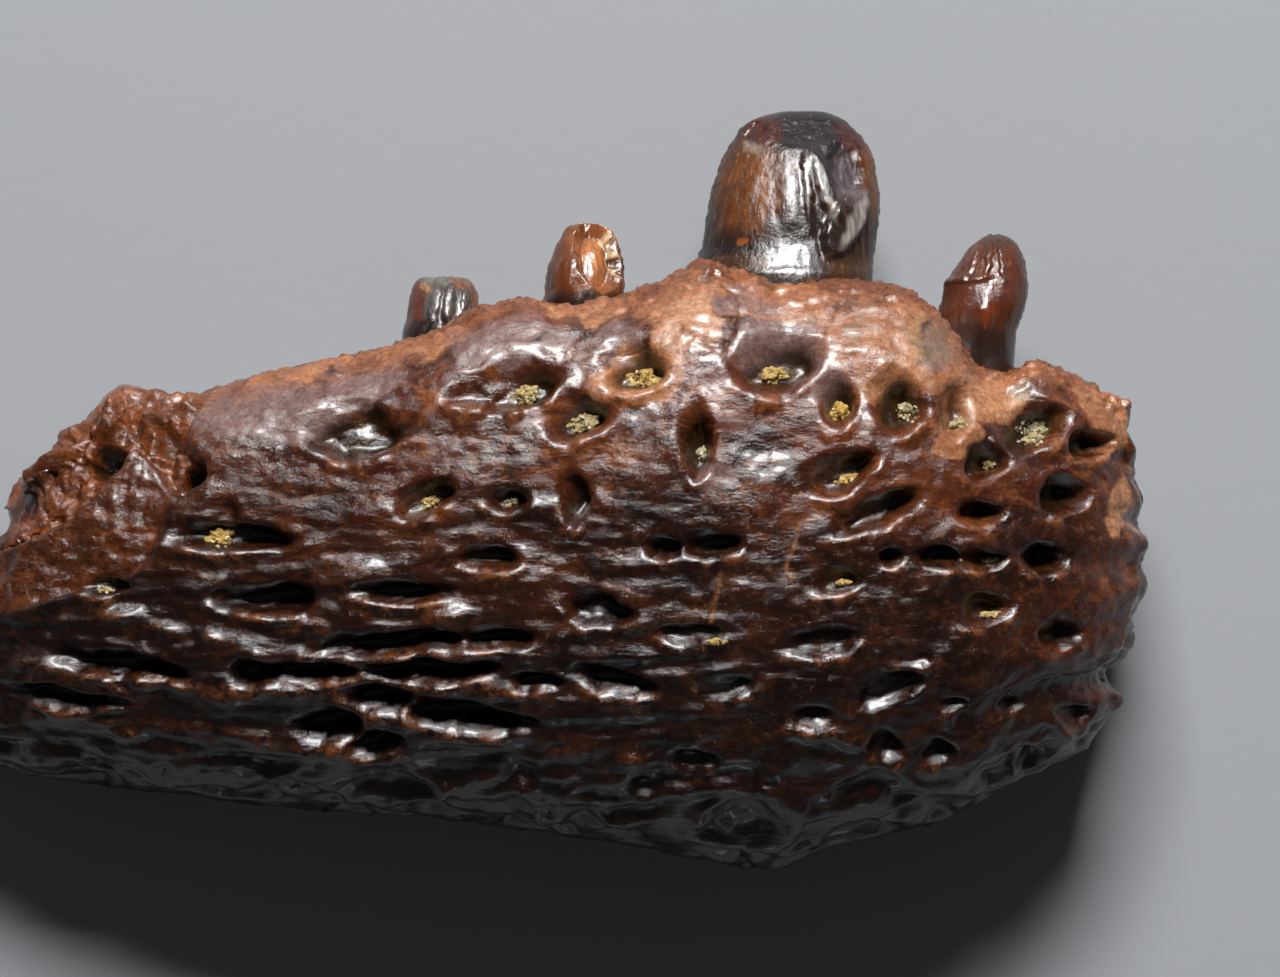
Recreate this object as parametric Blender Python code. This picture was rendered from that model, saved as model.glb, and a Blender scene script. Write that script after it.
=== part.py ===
"""Front end of a small fossil crocodilian's right lower jaw, lying on its inner side.

All sizes are millimetres. On the outer face x runs forward to the snout tip and y up to the
biting edge, both measured from the middle of that face, and z is the height above the flat
symphysis on which the fragment lies.
"""
import math

import bmesh
import bpy
import numpy as np
from mathutils import Vector, noise

MM = 0.001
COLLECTION_NAME = "fossil_jaw_fragment"
CUTTER_COLLECTION_NAME = "cutters"

# The middle of the fragment's bounding box, as x and y on the outer face
FRAME_CENTRE = (-4.85, 0.15)

# Outline of the outer face, corner to corner: top and bottom as x, y and the two ends as y, x
TOP_EDGE = [
    (-28.5, 3.0), (-27.2, 4.4), (-26.3, 5.2), (-24.6, 5.1), (-22.0, 4.9), (-20.9, 5.1), (-19.0, 5.7),
    (-15.5, 6.5), (-12.8, 7.0), (-10.0, 8.0), (-7.8, 9.1), (-5.8, 9.4), (-3.4, 9.15), (-0.9, 9.6),
    (2.0, 10.8), (3.4, 11.3), (4.6, 10.9), (7.2, 10.2), (9.0, 10.3), (11.4, 10.3), (13.9, 9.6),
    (14.9, 8.6), (16.0, 7.1), (16.9, 6.1), (18.1, 5.8), (19.7, 6.3), (22.0, 5.4), (24.3, 4.4),
]
BOTTOM_EDGE = [
    (-33.4, -13.6), (-28.0, -14.6), (-18.3, -15.8), (-8.3, -16.6), (-3.4, -17.3), (2.7, -18.3),
    (4.7, -18.7), (7.4, -18.7), (8.8, -18.1), (12.1, -17.2), (14.9, -16.6), (17.0, -15.5),
    (19.4, -14.2), (22.4, -13.0),
]
FRONT_EDGE = [
    (-13.0, 22.4), (-12.0, 23.1), (-10.5, 24.0), (-9.1, 23.3), (-8.3, 24.4), (-6.5, 24.6), (-4.8, 25.4),
    (-3.9, 25.0), (-2.75, 25.4), (-1.6, 24.8), (-0.7, 25.1), (0.8, 24.6), (2.6, 24.7), (4.4, 24.3),
]
REAR_EDGE = [
    (-13.6, -33.4), (-12.2, -34.5), (-10.8, -34.1), (-9.4, -35.2), (-7.8, -34.5), (-6.2, -34.8),
    (-4.6, -33.3), (-3.0, -32.9), (-1.4, -31.3), (0.2, -31.3), (1.6, -29.7), (3.0, -28.5),
]

# Thickness of the bone from inner to outer side, as x, size
THICKNESS = [
    (-35.0, 11.5), (-28.0, 13.0), (-20.0, 14.6), (-8.0, 16.4), (6.0, 17.4), (16.0, 16.6), (25.0, 13.5),
]
HALF_LENGTH = 29.5
HALF_HEIGHT = 13.5
OUTER_BULGE = 8.0
INNER_BULGE = 10.0
RIM_AT_BOTTOM = 0.45
RIM_AT_TOP = 0.61
OUTER_ROUNDNESS = 2.3
INNER_TOP_ROUNDNESS = 2.4
INNER_BOTTOM_ROUNDNESS = 3.0
FRONT_ROUNDNESS = 3.2
REAR_ROUNDNESS = 4.5
SYMPHYSIS_CUT = 1.35
END_BLEND_POWER = 8

# Mesh of the bone before and after it is thinned to what its shape needs
STEPS_ALONG = 176
STEPS_UP = 92
BONE_TRIANGLES = 5750
FLAT_BELOW = 0.05

# Pits and furrows of the outer face: x, y, half length, half width, tilt in degrees, depth
PITS = [
    (0.0, 5.95, 1.45, 1.05, 0, 1.3), (7.2, 6.3, 2.1, 1.25, 10, 1.1), (10.0, 4.3, 0.85, 1.15, 0, 1.1),
    (13.2, 4.2, 1.25, 1.3, 0, 1.3), (15.9, 3.9, 0.8, 1.15, 0, 0.8), (19.9, 3.1, 1.8, 1.2, 5, 1.4),
    (17.4, 1.3, 0.95, 0.7, 0, 1.2), (22.9, 2.2, 1.2, 0.65, 5, 1.2), (21.4, -0.4, 1.1, 0.85, 0, 1.3),
    (3.0, 2.3, 0.8, 1.6, 0, 1.2), (10.3, 0.9, 1.8, 0.8, 20, 1.0), (12.0, -1.1, 2.3, 0.65, 22, 0.9),
    (17.2, -1.3, 1.15, 0.6, 0, 1.1), (12.6, -3.4, 0.6, 0.4, 0, 0.8), (15.2, -3.5, 1.1, 0.5, 0, 1.0),
    (17.2, -3.4, 1.1, 0.45, 0, 0.8), (20.4, -3.5, 1.1, 0.65, 0, 1.3), (17.5, -6.0, 1.45, 0.65, 8, 1.2),
    (21.2, -7.3, 1.0, 0.7, 0, 1.3), (12.6, -9.9, 2.0, 0.65, 15, 1.0), (13.8, -8.5, 1.2, 0.5, 10, 0.5),
    (15.6, -10.8, 0.8, 0.35, 0, 0.6), (18.5, -10.8, 0.6, 0.4, 0, 0.6), (21.7, -11.2, 1.0, 0.45, 0, 0.8),
    (12.2, -12.9, 0.8, 0.7, 0, 0.9), (14.9, -13.1, 0.9, 0.6, 0, 0.9), (19.3, -13.4, 1.0, 0.45, 20, 0.8),
    (-13.6, 2.85, 2.7, 1.1, 0, 1.1), (-5.7, 5.2, 2.2, 1.0, 12, 1.0), (-8.0, 4.7, 1.4, 0.5, 12, 0.5),
    (-2.8, 3.5, 1.5, 0.95, 15, 1.1), (-10.5, -0.5, 1.6, 0.85, 20, 1.0), (-6.4, -0.5, 1.0, 0.6, 0, 0.8),
    (-3.1, -0.6, 0.75, 1.1, 0, 0.9), (-20.0, -2.4, 3.5, 0.75, -3, 1.1), (-20.7, -1.2, 0.9, 0.8, 0, 0.7),
    (-26.4, -4.9, 1.1, 0.5, 0, 0.9), (-18.2, -5.5, 2.5, 0.75, 0, 1.3), (-7.3, -3.4, 1.4, 0.55, 0, 0.9),
    (-11.5, -5.2, 2.3, 0.5, 0, 0.9), (-11.5, -7.6, 3.5, 0.5, 4, 1.1), (-6.9, -7.4, 1.9, 0.5, 0, 1.0),
    (-25.0, -9.0, 3.2, 0.6, -10, 1.1), (-28.0, -10.5, 2.8, 0.4, -6, 0.9), (-18.8, -9.2, 1.3, 0.6, 0, 1.0),
    (-15.6, -9.2, 1.9, 0.5, -4, 1.1), (-9.6, -9.1, 3.2, 0.5, 0, 1.1), (-4.9, -9.7, 1.2, 0.45, -5, 0.8),
    (-12.6, -10.4, 1.6, 0.5, 0, 1.0), (-15.2, -11.9, 1.6, 0.8, 0, 1.0), (-8.2, -11.4, 3.4, 0.6, -8, 1.1),
    (-12.9, -12.7, 1.3, 0.5, 0, 0.8), (1.3, -2.9, 0.9, 0.5, 0, 1.0), (3.9, -2.9, 1.3, 0.6, 0, 1.1),
    (-1.6, -6.1, 1.9, 0.65, -12, 1.0), (2.8, -7.2, 1.7, 0.5, 0, 0.7), (-0.8, -9.8, 2.2, 0.5, -12, 0.9),
    (4.6, -9.7, 1.2, 0.55, 0, 0.6), (9.3, -7.6, 1.7, 0.65, 10, 0.9), (10.0, -4.6, 1.2, 0.5, 10, 0.6),
    (8.7, -11.3, 1.0, 0.45, 0, 0.8), (2.9, -13.4, 1.2, 0.4, 0, 0.8),
]
PIT_WALL_START = 0.35
PIT_WALL_END = 1.15
PIT_LIP_HEIGHT = 0.16
PIT_LIP_PLACE = 1.3
PIT_LIP_WIDTH = 0.25
PIT_LIP_FADE = 0.3
PIT_WANDER = (0.3, 1.6)

# Rear part whose smooth outer layer has flaked away: the layer's broken edge, as y, x
BROKEN_EDGE = [
    (-6.5, -32.0), (-5.2, -28.0), (-4.4, -25.3), (-3.0, -24.0), (-0.4, -23.1), (1.2, -21.9),
    (2.5, -22.5), (4.0, -21.8), (6.0, -20.8),
]
BROKEN_FOOT = (-6.6, -5.2)
BROKEN_STEP_WIDTH = 0.9
BROKEN_DEPTH = 0.9
BROKEN_ROUGHNESS = 0.55
BROKEN_GRAIN = 2.6

# Lumps on the rear break
BREAK_ROUGHNESS = 0.8
BREAK_GRAIN = 2.4

# Net of low ridges that covers the underside and the snout tip
NET_RIDGE_HEIGHT = 0.2
NET_DEPTH = 0.75
NET_CELL = (4.2, 2.6, 3.0)
NET_RIDGE_WALL = (0.06, 0.5)

# Groove along the inner side, from the rear break to the back of the symphysis: x, y, half width, depth
INNER_GROOVE = [
    (-36.0, -6.0, 2.8, 4.0), (-20.0, -5.4, 2.7, 3.6), (-8.0, -4.6, 2.2, 2.6), (1.0, -4.4, 1.0, 0.0),
]

INNER_GROOVE_WALL = (1.0, 0.3)

# Inner side above the groove, which stands back from the symphysis
INNER_RECESS_DEPTH = 2.2
INNER_RECESS_FRONT = (3.0, -6.0)
INNER_RECESS_FOOT = (-9.0, -6.5)
INNER_WANDER = (1.6, 7.0)

# Empty sockets in the biting edge, filled to near their rims: x, z, half length, half width, depth
EMPTY_SOCKETS = [
    (-23.4, 7.0, 1.5, 1.6, 1.2), (-16.6, 7.4, 1.7, 1.7, 1.3), (12.9, 6.6, 1.1, 1.6, 1.0),
    (21.6, 5.2, 1.3, 1.5, 1.2),
]
EMPTY_SOCKET_WALL = (1.1, 0.4)

# Where each kind of relief begins and is full: the surface's direction, 1 facing that way, and place
FACING_OUT = (-0.1, 0.25)
FACING_IN = (0.3, 0.7)
FACING_UP = (0.5, 0.8)
FACING_DOWN = (0.55, 0.8)
FACING_FORWARD = (0.75, 0.95)
FACING_BACK = (0.5, 0.85)
UNDERSIDE_Y = (-12.2, -14.0)
TIP_X = (22.5, 24.0)
REAR_X = (-27.0, -29.0)

# Teeth from root tip to crown tip: y, left x, right x, height of the outer and of the inner side
LARGE_TOOTH = [
    (1.6, 5.6, 9.0, 8.5, 5.5), (4.5, 3.7, 10.9, 9.6, 4.4), (8.0, 3.0, 11.6, 10.2, 4.0),
    (10.4, 2.8, 11.7, 10.05, 3.85), (11.3, 2.8, 11.7, 9.7, 3.8), (12.2, 3.1, 11.85, 9.32, 3.75),
    (13.4, 3.3, 12.0, 9.0, 3.7), (14.6, 3.5, 12.05, 8.6, 3.65), (15.7, 3.8, 11.9, 8.15, 3.65),
    (16.7, 4.2, 11.7, 7.7, 3.7), (17.5, 4.65, 11.3, 7.2, 3.85), (18.2, 5.15, 10.7, 6.6, 4.1),
    (18.65, 5.9, 10.1, 6.1, 4.4), (18.95, 7.0, 9.3, 5.5, 4.8),
]
CHIPPED_TOOTH = [
    (3.6, -4.1, -1.9, 7.8, 6.0), (5.8, -4.7, -1.2, 8.4, 5.4), (8.4, -4.95, -0.95, 8.6, 5.15),
    (9.3, -4.9, -0.9, 8.6, 5.1), (10.0, -4.75, -0.8, 8.5, 5.1), (10.9, -4.7, -0.78, 8.3, 5.1),
    (11.6, -4.45, -0.9, 8.0, 5.1), (12.2, -4.2, -1.05, 7.7, 5.15), (12.8, -3.9, -1.3, 7.2, 5.35),
    (13.15, -3.65, -1.7, 6.8, 5.6), (13.3, -3.2, -2.1, 6.4, 5.85),
]
STUB_TOOTH = [
    (3.4, -11.2, -8.9, 7.6, 5.8), (5.6, -11.8, -8.3, 8.2, 5.2), (7.6, -11.95, -8.1, 8.3, 5.0),
    (8.5, -11.75, -8.1, 8.1, 4.98), (9.3, -11.65, -8.1, 7.75, 5.0), (9.9, -11.5, -8.2, 7.4, 5.1),
    (10.3, -11.35, -8.4, 7.0, 5.3), (10.58, -11.0, -8.8, 6.5, 5.6),
]
PEG_TOOTH = [
    (1.4, 15.9, 18.1, 7.8, 6.0), (3.8, 15.2, 18.6, 8.4, 5.4), (6.3, 14.95, 18.8, 8.65, 5.15),
    (7.8, 14.85, 18.9, 8.75, 5.1), (8.7, 14.9, 19.2, 8.8, 5.05), (9.5, 15.15, 19.45, 8.7, 5.05),
    (10.3, 15.25, 19.5, 8.45, 5.1), (10.7, 15.6, 19.45, 8.25, 5.1), (11.3, 16.0, 19.35, 7.9, 5.15),
    (11.9, 16.4, 19.15, 7.45, 5.25), (12.4, 16.9, 18.85, 6.95, 5.5), (12.7, 17.4, 18.4, 6.4, 5.8),
]
LARGE_TOOTH_SIDES = 28
CHIPPED_TOOTH_SIDES = 20
SMALL_TOOTH_SIDES = 18
CARINA_SHARPNESS = 1.2
SOCKET_GAP = 0.12

# Broken patches on the outer faces of teeth: x, y, half length, half width, tilt in degrees, depth
LARGE_TOOTH_FLAKE = (10.4, 16.0, 1.3, 0.7, 100, 0.25)
CHIPPED_TOOTH_CHIP = (-2.1, 11.7, 1.7, 1.15, -72, 0.75)
PATCH_WALL = (1.1, 0.6)

# Sand and gravel stuck in pits: x, y, half length, half width, tilt in degrees, pit depth there
SEDIMENT_PLUGS = [
    (0.1, 5.4, 0.75, 0.42, 0, 1.2), (6.5, 5.6, 0.6, 0.35, 10, 0.9), (9.9, 3.7, 0.42, 0.4, 0, 0.9),
    (13.3, 3.7, 0.6, 0.5, 0, 1.2), (19.4, 2.8, 0.8, 0.6, 20, 1.3), (-2.9, 3.2, 0.75, 0.42, 15, 1.0),
    (-20.8, -2.5, 0.6, 0.45, 10, 1.0), (-5.7, 4.6, 0.6, 0.4, 10, 0.9),
]
PLUG_THICKNESS = 0.35
PLUG_RISE = 0.1
PLUG_LUMP_SIZE = 0.22
PLUG_LUMPS_PER_RADIUS = 1.7
PLUG_GAP = 0.12

# Colours in linear light, and roughness
BONE_BROWN = (0.09, 0.045, 0.03, 0.35)
DARK_ENAMEL = (0.05, 0.025, 0.015, 0.15)
AMBER_ENAMEL = (0.25, 0.1, 0.03, 0.2)
SAND_OCHRE = (0.5, 0.35, 0.15, 0.9)


def smooth_height(position, knots):
    """Smooth curve through hand-chosen (position, height) knots."""
    place, height = np.array(knots, dtype=float).T
    slope = np.gradient(height, place)
    slot = np.clip(np.searchsorted(place, position) - 1, 0, len(place) - 2)
    span = place[slot + 1] - place[slot]
    t = np.clip((position - place[slot]) / span, 0.0, 1.0)
    rise = height[slot] * (1 + 2 * t) * (1 - t) ** 2 + height[slot + 1] * t * t * (3 - 2 * t)
    bend = slope[slot] * t * (1 - t) ** 2 - slope[slot + 1] * t * t * (1 - t)
    return rise + bend * span


def ease(start, end, value):
    """Smooth step from 0 at start to 1 at end."""
    t = np.clip((value - start) / (end - start), 0.0, 1.0)
    return t * t * (3 - 2 * t)


def even_steps(rear_roundness, front_roundness, half_size, depth, count):
    """Places from -1 to 1 that are evenly spaced along the rounded section they stand on."""
    angle = np.linspace(-math.pi / 2, math.pi / 2, 4001)
    power = np.where(angle < 0, rear_roundness, front_roundness)
    place = np.sign(angle) * np.abs(np.sin(angle)) ** (2 / power)
    height = np.cos(angle) ** (2 / power)
    steps = np.hypot(np.diff(place) * half_size, np.diff(height) * depth)
    length = np.concatenate([[0.0], np.cumsum(steps)])
    places = np.interp(np.linspace(0.0, length[-1], count + 1), length, place)
    places[0] = -1.0
    places[-1] = 1.0
    return places


def rounded(place, power):
    """Height of the unit section |place|^power + height^power = 1."""
    return np.clip(1 - np.abs(place) ** power, 0.0, 1.0) ** (1 / power)


def outline_point(a, b):
    """Blend of the four outline edges at a, 0 rear to 1 front, and b, 0 bottom to 1 top."""
    def edge(knots, share):
        place = knots[0][0] + (knots[-1][0] - knots[0][0]) * share
        return place, smooth_height(place, knots)

    top_x, top_y = edge(TOP_EDGE, a)
    bottom_x, bottom_y = edge(BOTTOM_EDGE, a)
    front_y, front_x = edge(FRONT_EDGE, b)
    rear_y, rear_x = edge(REAR_EDGE, b)
    corners = (BOTTOM_EDGE[0], BOTTOM_EDGE[-1], TOP_EDGE[0], TOP_EDGE[-1])
    shares = ((1 - a) * (1 - b), a * (1 - b), (1 - a) * b, a * b)
    x = (1 - b) * bottom_x + b * top_x + (1 - a) * rear_x + a * front_x
    y = (1 - b) * bottom_y + b * top_y + (1 - a) * rear_y + a * front_y
    x = x - sum(corner[0] * share for corner, share in zip(corners, shares))
    y = y - sum(corner[1] * share for corner, share in zip(corners, shares))
    return x, y


def bone_side(outer):
    """Grid of points on the outer or the inner side of the unworn bone."""
    along = even_steps(REAR_ROUNDNESS, FRONT_ROUNDNESS, HALF_LENGTH, OUTER_BULGE, STEPS_ALONG)
    outer_rows = even_steps(OUTER_ROUNDNESS, OUTER_ROUNDNESS, HALF_HEIGHT, OUTER_BULGE, STEPS_UP)
    inner_rows = even_steps(INNER_BOTTOM_ROUNDNESS, INNER_TOP_ROUNDNESS, HALF_HEIGHT, INNER_BULGE, STEPS_UP)
    along = along[:, None]
    at_ends = 1.0 if outer else np.abs(along) ** END_BLEND_POWER
    up = inner_rows * (1 - at_ends) + outer_rows * at_ends + 0 * along
    x, y = outline_point((along + 1) / 2, (up + 1) / 2)
    thickness = smooth_height(x, THICKNESS)
    rim = thickness * (RIM_AT_BOTTOM + (RIM_AT_TOP - RIM_AT_BOTTOM) * (up + 1) / 2)
    ends = np.where(along < 0, rounded(along, REAR_ROUNDNESS), rounded(along, FRONT_ROUNDNESS))
    if outer:
        z = rim + (thickness - rim) * ends * rounded(up, OUTER_ROUNDNESS)
    else:
        section = np.where(up < 0, rounded(up, INNER_BOTTOM_ROUNDNESS), rounded(up, INNER_TOP_ROUNDNESS))
        z = np.maximum(rim * (1 - SYMPHYSIS_CUT * ends * section), 0.0)
    return np.stack([x, y, z], axis=-1)


def pit_distance(x, y, pit):
    """Distance from a pit's centre, 1 on its rim, and how far below the centre, in its own frame."""
    centre_x, centre_y, half_length, half_width, tilt, _depth = pit
    turn = math.radians(tilt)
    forward = (x - centre_x) * math.cos(turn) + (y - centre_y) * math.sin(turn)
    upward = (y - centre_y) * math.cos(turn) - (x - centre_x) * math.sin(turn)
    distance = np.hypot(forward / half_length, upward / half_width)
    return distance, -upward / half_width / np.maximum(distance, 0.01)


def wander(points, reach, grain):
    """Points shifted unevenly by up to about reach, so that no edge on them runs straight."""
    shifts = np.array([noise.noise_vector(Vector(point) / grain) for point in points])
    return points + reach * shifts


def pit_relief(points):
    """Depth of the pits, and the raised lips under them."""
    x, y, _z = wander(points, *PIT_WANDER).T
    hollow = np.zeros_like(x)
    lip = np.zeros_like(x)
    for pit in PITS:
        distance, below = pit_distance(x, y, pit)
        hollow = np.maximum(hollow, pit[5] * ease(PIT_WALL_END, PIT_WALL_START, distance))
        ridge = np.exp(-(((distance - PIT_LIP_PLACE) / PIT_LIP_WIDTH) ** 2))
        lip = np.maximum(lip, PIT_LIP_HEIGHT * ridge * np.clip(below, 0.0, 1.0))
    return lip * (1 - ease(0.0, PIT_LIP_FADE, hollow)) - hollow


def broken_relief(points):
    """Step down from the smooth outer layer to the crumbly bone behind its broken edge."""
    x, y = points[:, 0], points[:, 1]
    edge_y = np.clip(y, BROKEN_EDGE[0][0], BROKEN_EDGE[-1][0])
    behind = ease(0.0, BROKEN_STEP_WIDTH, smooth_height(edge_y, BROKEN_EDGE) - x)
    behind *= ease(*BROKEN_FOOT, y)
    lumps = np.array([noise.noise(Vector(point) / BROKEN_GRAIN) for point in points])
    return behind * (BROKEN_ROUGHNESS * lumps * 2 - BROKEN_DEPTH)


def net_relief(points):
    """Hollows between the net of ridges, from the distance to the edges of scattered cells."""
    cell = Vector(NET_CELL)
    edges = []
    for point in points:
        nearest = noise.voronoi(Vector([point[i] / cell[i] for i in range(3)]))[0]
        edges.append(nearest[1] - nearest[0])
    return NET_RIDGE_HEIGHT - NET_DEPTH * ease(*NET_RIDGE_WALL, np.array(edges))


def inner_relief(points):
    """Depth of the groove along the inner side and of the wall that stands back above it."""
    x, y, _z = wander(points, *INNER_WANDER).T
    centre, half_width, depth = (
        smooth_height(x, [(knot[0], knot[column]) for knot in INNER_GROOVE]) for column in (1, 2, 3)
    )
    groove = depth * ease(*INNER_GROOVE_WALL, np.abs(y - centre) / half_width)
    recess = INNER_RECESS_DEPTH * ease(*INNER_RECESS_FRONT, x) * ease(*INNER_RECESS_FOOT, y)
    return -np.maximum(groove, recess)


def break_relief(points):
    """Lumps of spongy bone on the rear break."""
    return np.array([BREAK_ROUGHNESS * noise.noise(Vector(point) / BREAK_GRAIN) * 2 for point in points])


def socket_relief(x, z):
    """Depth of the empty sockets along the biting edge."""
    hollow = np.zeros_like(x)
    for centre_x, centre_z, half_length, half_width, depth in EMPTY_SOCKETS:
        distance = np.hypot((x - centre_x) / half_length, (z - centre_z) / half_width)
        hollow = np.maximum(hollow, depth * ease(*EMPTY_SOCKET_WALL, distance))
    return -hollow


def carve_bone(points, normals):
    """Move the points of the unworn bone along its normals to their carved places.

    Each kind of relief has a mask, 1 on the stretch of surface that it covers and 0 elsewhere.
    """
    x, y, z = points.T
    forward, up, out = normals.T
    outward = ease(*FACING_OUT, out)
    inward = ease(*FACING_IN, -out)
    on_shelf = ease(*FACING_UP, up) * (1 - outward)
    underside = np.maximum(ease(*UNDERSIDE_Y, y), ease(*FACING_DOWN, -up))
    tip = ease(*FACING_FORWARD, forward) * ease(*TIP_X, x)
    rear = ease(*FACING_BACK, -forward) * ease(*REAR_X, x)
    depth = outward * pit_relief(points)
    depth += outward * broken_relief(points)
    depth += np.maximum(underside, tip) * (1 - inward) * net_relief(points)
    depth += on_shelf * socket_relief(x, z)
    depth += inward * inner_relief(points)
    depth += rear * break_relief(points)
    carved = points + normals * depth[:, None]
    carved[:, 2] = np.maximum(carved[:, 2], 0.0)
    return carved


def add_object(name, points, faces, collection, parent, material=None):
    """Object from points in millimetres, standing in the specimen's frame."""
    mesh = bpy.data.meshes.new(name)
    mesh.from_pydata([tuple(point) for point in np.asarray(points) * MM], [], faces)
    mesh.update()
    mesh.shade_smooth()
    if material:
        mesh.materials.append(material)
    item = bpy.data.objects.new(name, mesh)
    item.parent = parent
    collection.objects.link(item)
    return item


def bone_mesh(name, collection, parent, material):
    """Closed bone: the outer and inner grids meet along the outline."""
    rows = STEPS_UP + 1
    count = (STEPS_ALONG + 1) * rows
    points = np.concatenate([bone_side(True).reshape(-1, 3), bone_side(False).reshape(-1, 3)])
    faces = []
    for i in range(STEPS_ALONG):
        for j in range(STEPS_UP):
            corner = i * rows + j
            outer_face = (corner, corner + rows, corner + rows + 1, corner + 1)
            faces.append(outer_face)
            faces.append(tuple(count + index for index in reversed(outer_face)))
    bone = add_object(name, points, faces, collection, parent, material)
    joined = bmesh.new()
    joined.from_mesh(bone.data)
    bmesh.ops.remove_doubles(joined, verts=joined.verts, dist=0.001 * MM)
    joined.to_mesh(bone.data)
    joined.free()
    return bone


def carve_mesh(item):
    """Replace a mesh's points by their carved places."""
    count = len(item.data.vertices)
    points = np.empty(count * 3)
    normals = np.empty(count * 3)
    item.data.vertices.foreach_get("co", points)
    item.data.vertex_normals.foreach_get("vector", normals)
    carved = carve_bone(points.reshape(-1, 3) / MM, normals.reshape(-1, 3))
    item.data.vertices.foreach_set("co", (carved * MM).ravel())
    item.data.update()


def thin_mesh(item, ratio):
    """Collapse a mesh's edges where its shape needs fewer, and keep the result as its mesh."""
    thin = item.modifiers.new("thin_out", "DECIMATE")
    thin.ratio = ratio
    evaluated = item.evaluated_get(bpy.context.evaluated_depsgraph_get())
    thinned = bpy.data.meshes.new_from_object(evaluated)
    item.modifiers.remove(thin)
    item.data = thinned


def make_jaw_bone(collection, parent, material):
    bone = bone_mesh("jaw_bone", collection, parent, material)
    carve_mesh(bone)
    thin_mesh(bone, BONE_TRIANGLES / (4 * STEPS_ALONG * STEPS_UP))
    for vertex in bone.data.vertices:
        if vertex.co.z < FLAT_BELOW * MM:
            vertex.co.z = 0.0
    return bone


def tooth_rings(rows, sides, growth=0.0, patch=None):
    """Rings of points round a tooth, its front and rear edges drawn to a low keel."""
    rings = []
    last = len(rows) - 1
    for index, (y, left, right, front, back) in enumerate(rows):
        end_shift = growth * ((index == last) - (index == 0))
        ring = []
        for side in range(sides):
            turn = 2 * math.pi * side / sides
            across = math.cos(turn)
            outward = math.copysign(abs(math.sin(turn)) ** CARINA_SHARPNESS, math.sin(turn))
            x = (left + right) / 2 + ((right - left) / 2 + growth) * across
            z = (front + back) / 2 + ((front - back) / 2 + growth) * outward
            if patch and outward > 0:
                distance, _below = pit_distance(np.array([x]), np.array([y]), patch)
                z -= float(patch[5] * ease(*PATCH_WALL, distance)[0]) * outward
            ring.append((x, y + end_shift, z))
        rings.append(ring)
    return rings


def ring_faces(ring_count, sides):
    """Faces between rings, and one cap at each end."""
    faces = []
    for ring in range(ring_count - 1):
        for side in range(sides):
            here = ring * sides + side
            beside = ring * sides + (side + 1) % sides
            faces.append((here, here + sides, beside + sides, beside))
    faces.append(tuple(range(sides)))
    faces.append(tuple(reversed(range((ring_count - 1) * sides, ring_count * sides))))
    return faces


def cut_seat(bone, name, points, faces, cutters, parent):
    """Cut the seat of another piece into the bone."""
    cutter = add_object(name, points, faces, cutters, parent)
    cutter.hide_render = True
    cutter.display_type = "WIRE"
    cut = bone.modifiers.new(name, "BOOLEAN")
    cut.operation = "DIFFERENCE"
    cut.solver = "EXACT"
    cut.object = cutter


def make_tooth(name, rows, sides, place, material, patch=None):
    """One tooth, and its socket in the bone."""
    bone, collection, cutters, parent = place
    faces = ring_faces(len(rows), sides)
    body = [point for ring in tooth_rings(rows, sides, patch=patch) for point in ring]
    add_object(name, body, faces, collection, parent, material)
    around = [point for ring in tooth_rings(rows, sides, SOCKET_GAP) for point in ring]
    cut_seat(bone, name + "_socket", around, faces, cutters, parent)


def plug_shape(plug, floor_height, growth):
    """Points and faces of one lump of sediment, a flattened ball with an uneven surface."""
    centre_x, centre_y, half_length, half_width, tilt, _depth = plug
    ball = bmesh.new()
    bmesh.ops.create_icosphere(ball, subdivisions=2, radius=1.0)
    turn = math.radians(tilt)
    points = []
    for vertex in ball.verts:
        where = vertex.co * PLUG_LUMPS_PER_RADIUS + Vector((centre_x, centre_y, 0.0))
        lump = 1 + PLUG_LUMP_SIZE * noise.noise(where)
        along = vertex.co.x * (half_length * lump + growth)
        upward = vertex.co.y * (half_width * lump + growth)
        outward = vertex.co.z * (PLUG_THICKNESS * lump + growth)
        x = centre_x + along * math.cos(turn) - upward * math.sin(turn)
        y = centre_y + along * math.sin(turn) + upward * math.cos(turn)
        points.append((x, y, floor_height + outward))
    faces = [tuple(vertex.index for vertex in face.verts) for face in ball.faces]
    ball.free()
    return points, faces


def outer_height(x, y):
    """Height of the unworn outer face at x, y, from its nearest grid point."""
    grid = bone_side(True).reshape(-1, 3)
    return grid[np.argmin(np.hypot(grid[:, 0] - x, grid[:, 1] - y)), 2]


def make_sediment(place, material):
    """Lumps of sand on the floors of the larger pits."""
    bone, collection, cutters, parent = place
    for number, plug in enumerate(SEDIMENT_PLUGS, start=1):
        name = f"sediment_plug_{number}"
        floor_height = outer_height(plug[0], plug[1]) - plug[5] + PLUG_RISE
        points, faces = plug_shape(plug, floor_height, 0.0)
        add_object(name, points, faces, collection, parent, material)
        points, faces = plug_shape(plug, floor_height, PLUG_GAP)
        cut_seat(bone, name + "_seat", points, faces, cutters, parent)


def make_material(name, finish):
    *colour, roughness = finish
    material = bpy.data.materials.new(name)
    material.use_nodes = True
    shader = material.node_tree.nodes["Principled BSDF"]
    shader.inputs["Base Color"].default_value = (*colour, 1.0)
    shader.inputs["Roughness"].default_value = roughness
    shader.inputs["Metallic"].default_value = 0.0
    material.diffuse_color = (*colour, 1.0)
    return material


def make_collection(name):
    collection = bpy.data.collections.new(name)
    bpy.context.scene.collection.children.link(collection)
    return collection


def clear_scene():
    for item in list(bpy.data.objects):
        bpy.data.objects.remove(item, do_unlink=True)


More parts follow.
